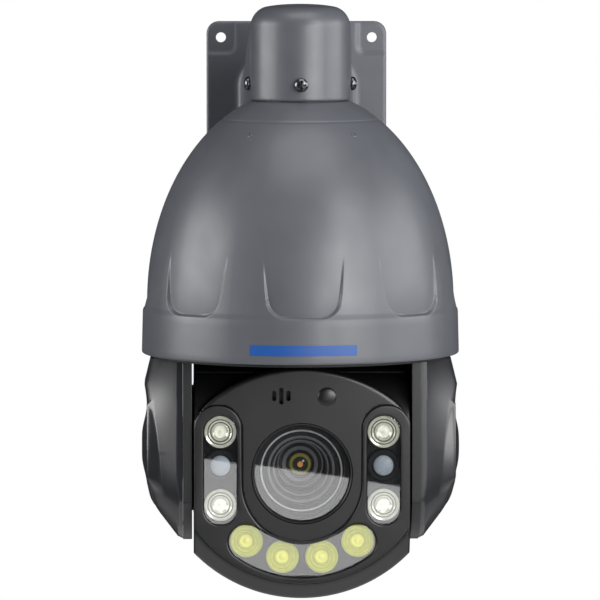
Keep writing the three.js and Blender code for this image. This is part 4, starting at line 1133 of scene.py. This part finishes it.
CAD_FINISH = {
    "rubber_seal": RUBBER,
    "screw_steel": SCREW,
    "bearing_steel": STEEL,
    "cast_aluminium": ALUMINIUM,
    "brass": BRASS,
    "circuit_board": BOARD,
    "yoke_plastic": MATTE_BLACK_AND_RECESS_SHADE,
    "head_plastic": BLACK,
}
OWN_FINISH = {"lamp_board": LAMP_BOARD, "trunnion_left": MATTE_BLACK_AND_RECESS_SHADE, "trunnion_right": MATTE_BLACK_AND_RECESS_SHADE}


def finish_cad_nodes():
    slots = {part["node"]: part["material_slot"] for part in frame["record"]["subparts"]}
    for name, node in frame["nodes"].items():
        material = OWN_FINISH.get(name, CAD_FINISH.get(slots[name]))
        if material:
            node.data.materials.clear()
            node.data.materials.append(material)


# ------------------------------------------------------------------ studio


def area_light(name, place, aim, width, height, power):
    """A white rectangular light that faces its aim, in metres and watts."""
    light = bpy.data.lights.new(name, "AREA")
    light.shape = "RECTANGLE"
    light.size, light.size_y, light.energy = width, height, power
    panel = placed(name, light)
    panel.location = place
    panel.rotation_euler = (aim - place).to_track_quat("-Z", "Y").to_euler()
    panel.visible_camera = False
    return panel


def build_studio():
    centre = (SEAM + Vector((0, 0, BELL_CENTRE))) * MM
    ground = cad_box[0][2] - 0.7
    mesh = bpy.data.meshes.new("floor")
    half = 1.5
    corners = [(-half, -half), (half, -half), (half, half), (-half, half)]
    mesh.from_pydata([(x, y + centre.y, ground) for x, y in corners], [], [(0, 1, 2, 3)])
    floor = placed("floor", mesh)
    mesh.materials.append(moulded("pale_floor", (0.78, 0.78, 0.78), 0.6, grain=0.02, cloud=0.01))

    def around(azimuth, distance, height):
        angle = math.radians(azimuth)
        return centre + Vector((distance * math.sin(angle), -distance * math.cos(angle), height))

    def panel(name, azimuth, low, high, width, radiance):
        """An upright soft panel that faces the pan axis."""
        place = around(azimuth, 1.6, (low + high) / 2)
        aim = centre + Vector((0, 0, (low + high) / 2))
        area_light(name, place, aim, width, high - low, radiance * math.pi * width * (high - low))

    panel("right_key_panel", 40, -0.15, 1.5, 0.7, 7.0)
    panel("right_side_panel", 84, -0.1, 0.9, 1.3, 4.8)
    panel("left_panel", -82, -0.1, 0.8, 1.3, 7.6)
    face = centre + Vector((0, 0, -0.07))
    area_light("front_fill", around(24, 0.8, 0.16), face, 0.3, 0.35, 2.4)
    area_light("face_card", around(13, 0.7, 0.0), face, 0.08, 0.14, 0.6)
    area_light("top_softbox", around(10, 0.5, 1.6), centre, 1.4, 1.0, 14)
    window_card(centre)
    build_world()


def window_card(centre):
    """An upright card in front of the windows, whose leaning top edge shows in them as a line."""
    top_edge = Vector((0.021, -1.165, -0.2848))
    lean = math.radians(8.1)
    width, height = 0.19, 0.1
    drop = Vector((math.sin(lean), 0, math.cos(lean))) * (height / 2)
    card = area_light("window_card", top_edge - drop, centre, width, height, 0.2)
    card.rotation_euler = (math.radians(90), lean, 0)


def build_world():
    """White behind the object, and a faint even light from everywhere else."""
    ambient = 0.03
    world = bpy.data.worlds.new("studio")
    world.use_nodes = True
    tree = world.node_tree
    background = tree.nodes["Background"]
    background.inputs["Color"].default_value = (1, 1, 1, 1)
    path = tree.nodes.new("ShaderNodeLightPath")
    strength = tree.nodes.new("ShaderNodeMapRange")
    strength.inputs["To Min"].default_value = ambient
    strength.inputs["To Max"].default_value = 1.0
    tree.links.new(path.outputs["Is Camera Ray"], strength.inputs["Value"])
    tree.links.new(strength.outputs["Result"], background.inputs["Strength"])
    bpy.context.scene.world = world
    bpy.context.scene.view_settings.view_transform = "Standard"


def build_camera():
    data = bpy.data.cameras.new("camera")
    data.lens = 337.1
    data.sensor_width = 36
    data.clip_end = 50
    camera = placed("camera", data)
    distance, turn, above = 3250, math.radians(1.2), 125.4
    place = SEAM + Vector((-distance * math.sin(turn), -distance * math.cos(turn), above))
    target = SEAM + Vector((-0.2, 0, -116.1))
    camera.location = place * MM
    camera.rotation_euler = (target - place).to_track_quat("-Z", "Y").to_euler()
    bpy.context.scene.camera = camera


# ------------------------------------------------------------------ everything


build_camera()
finish_cad_nodes()
build_bracket()
build_dome()
build_badge()
build_plugs()
build_screws()
for side, sign in SIDES:
    build_fork(side, sign)
    build_cover(side, sign)
build_turntable()
build_shells()
build_bezel()
build_windows()
build_lens()
build_lamps()
build_photocell()
build_studio()
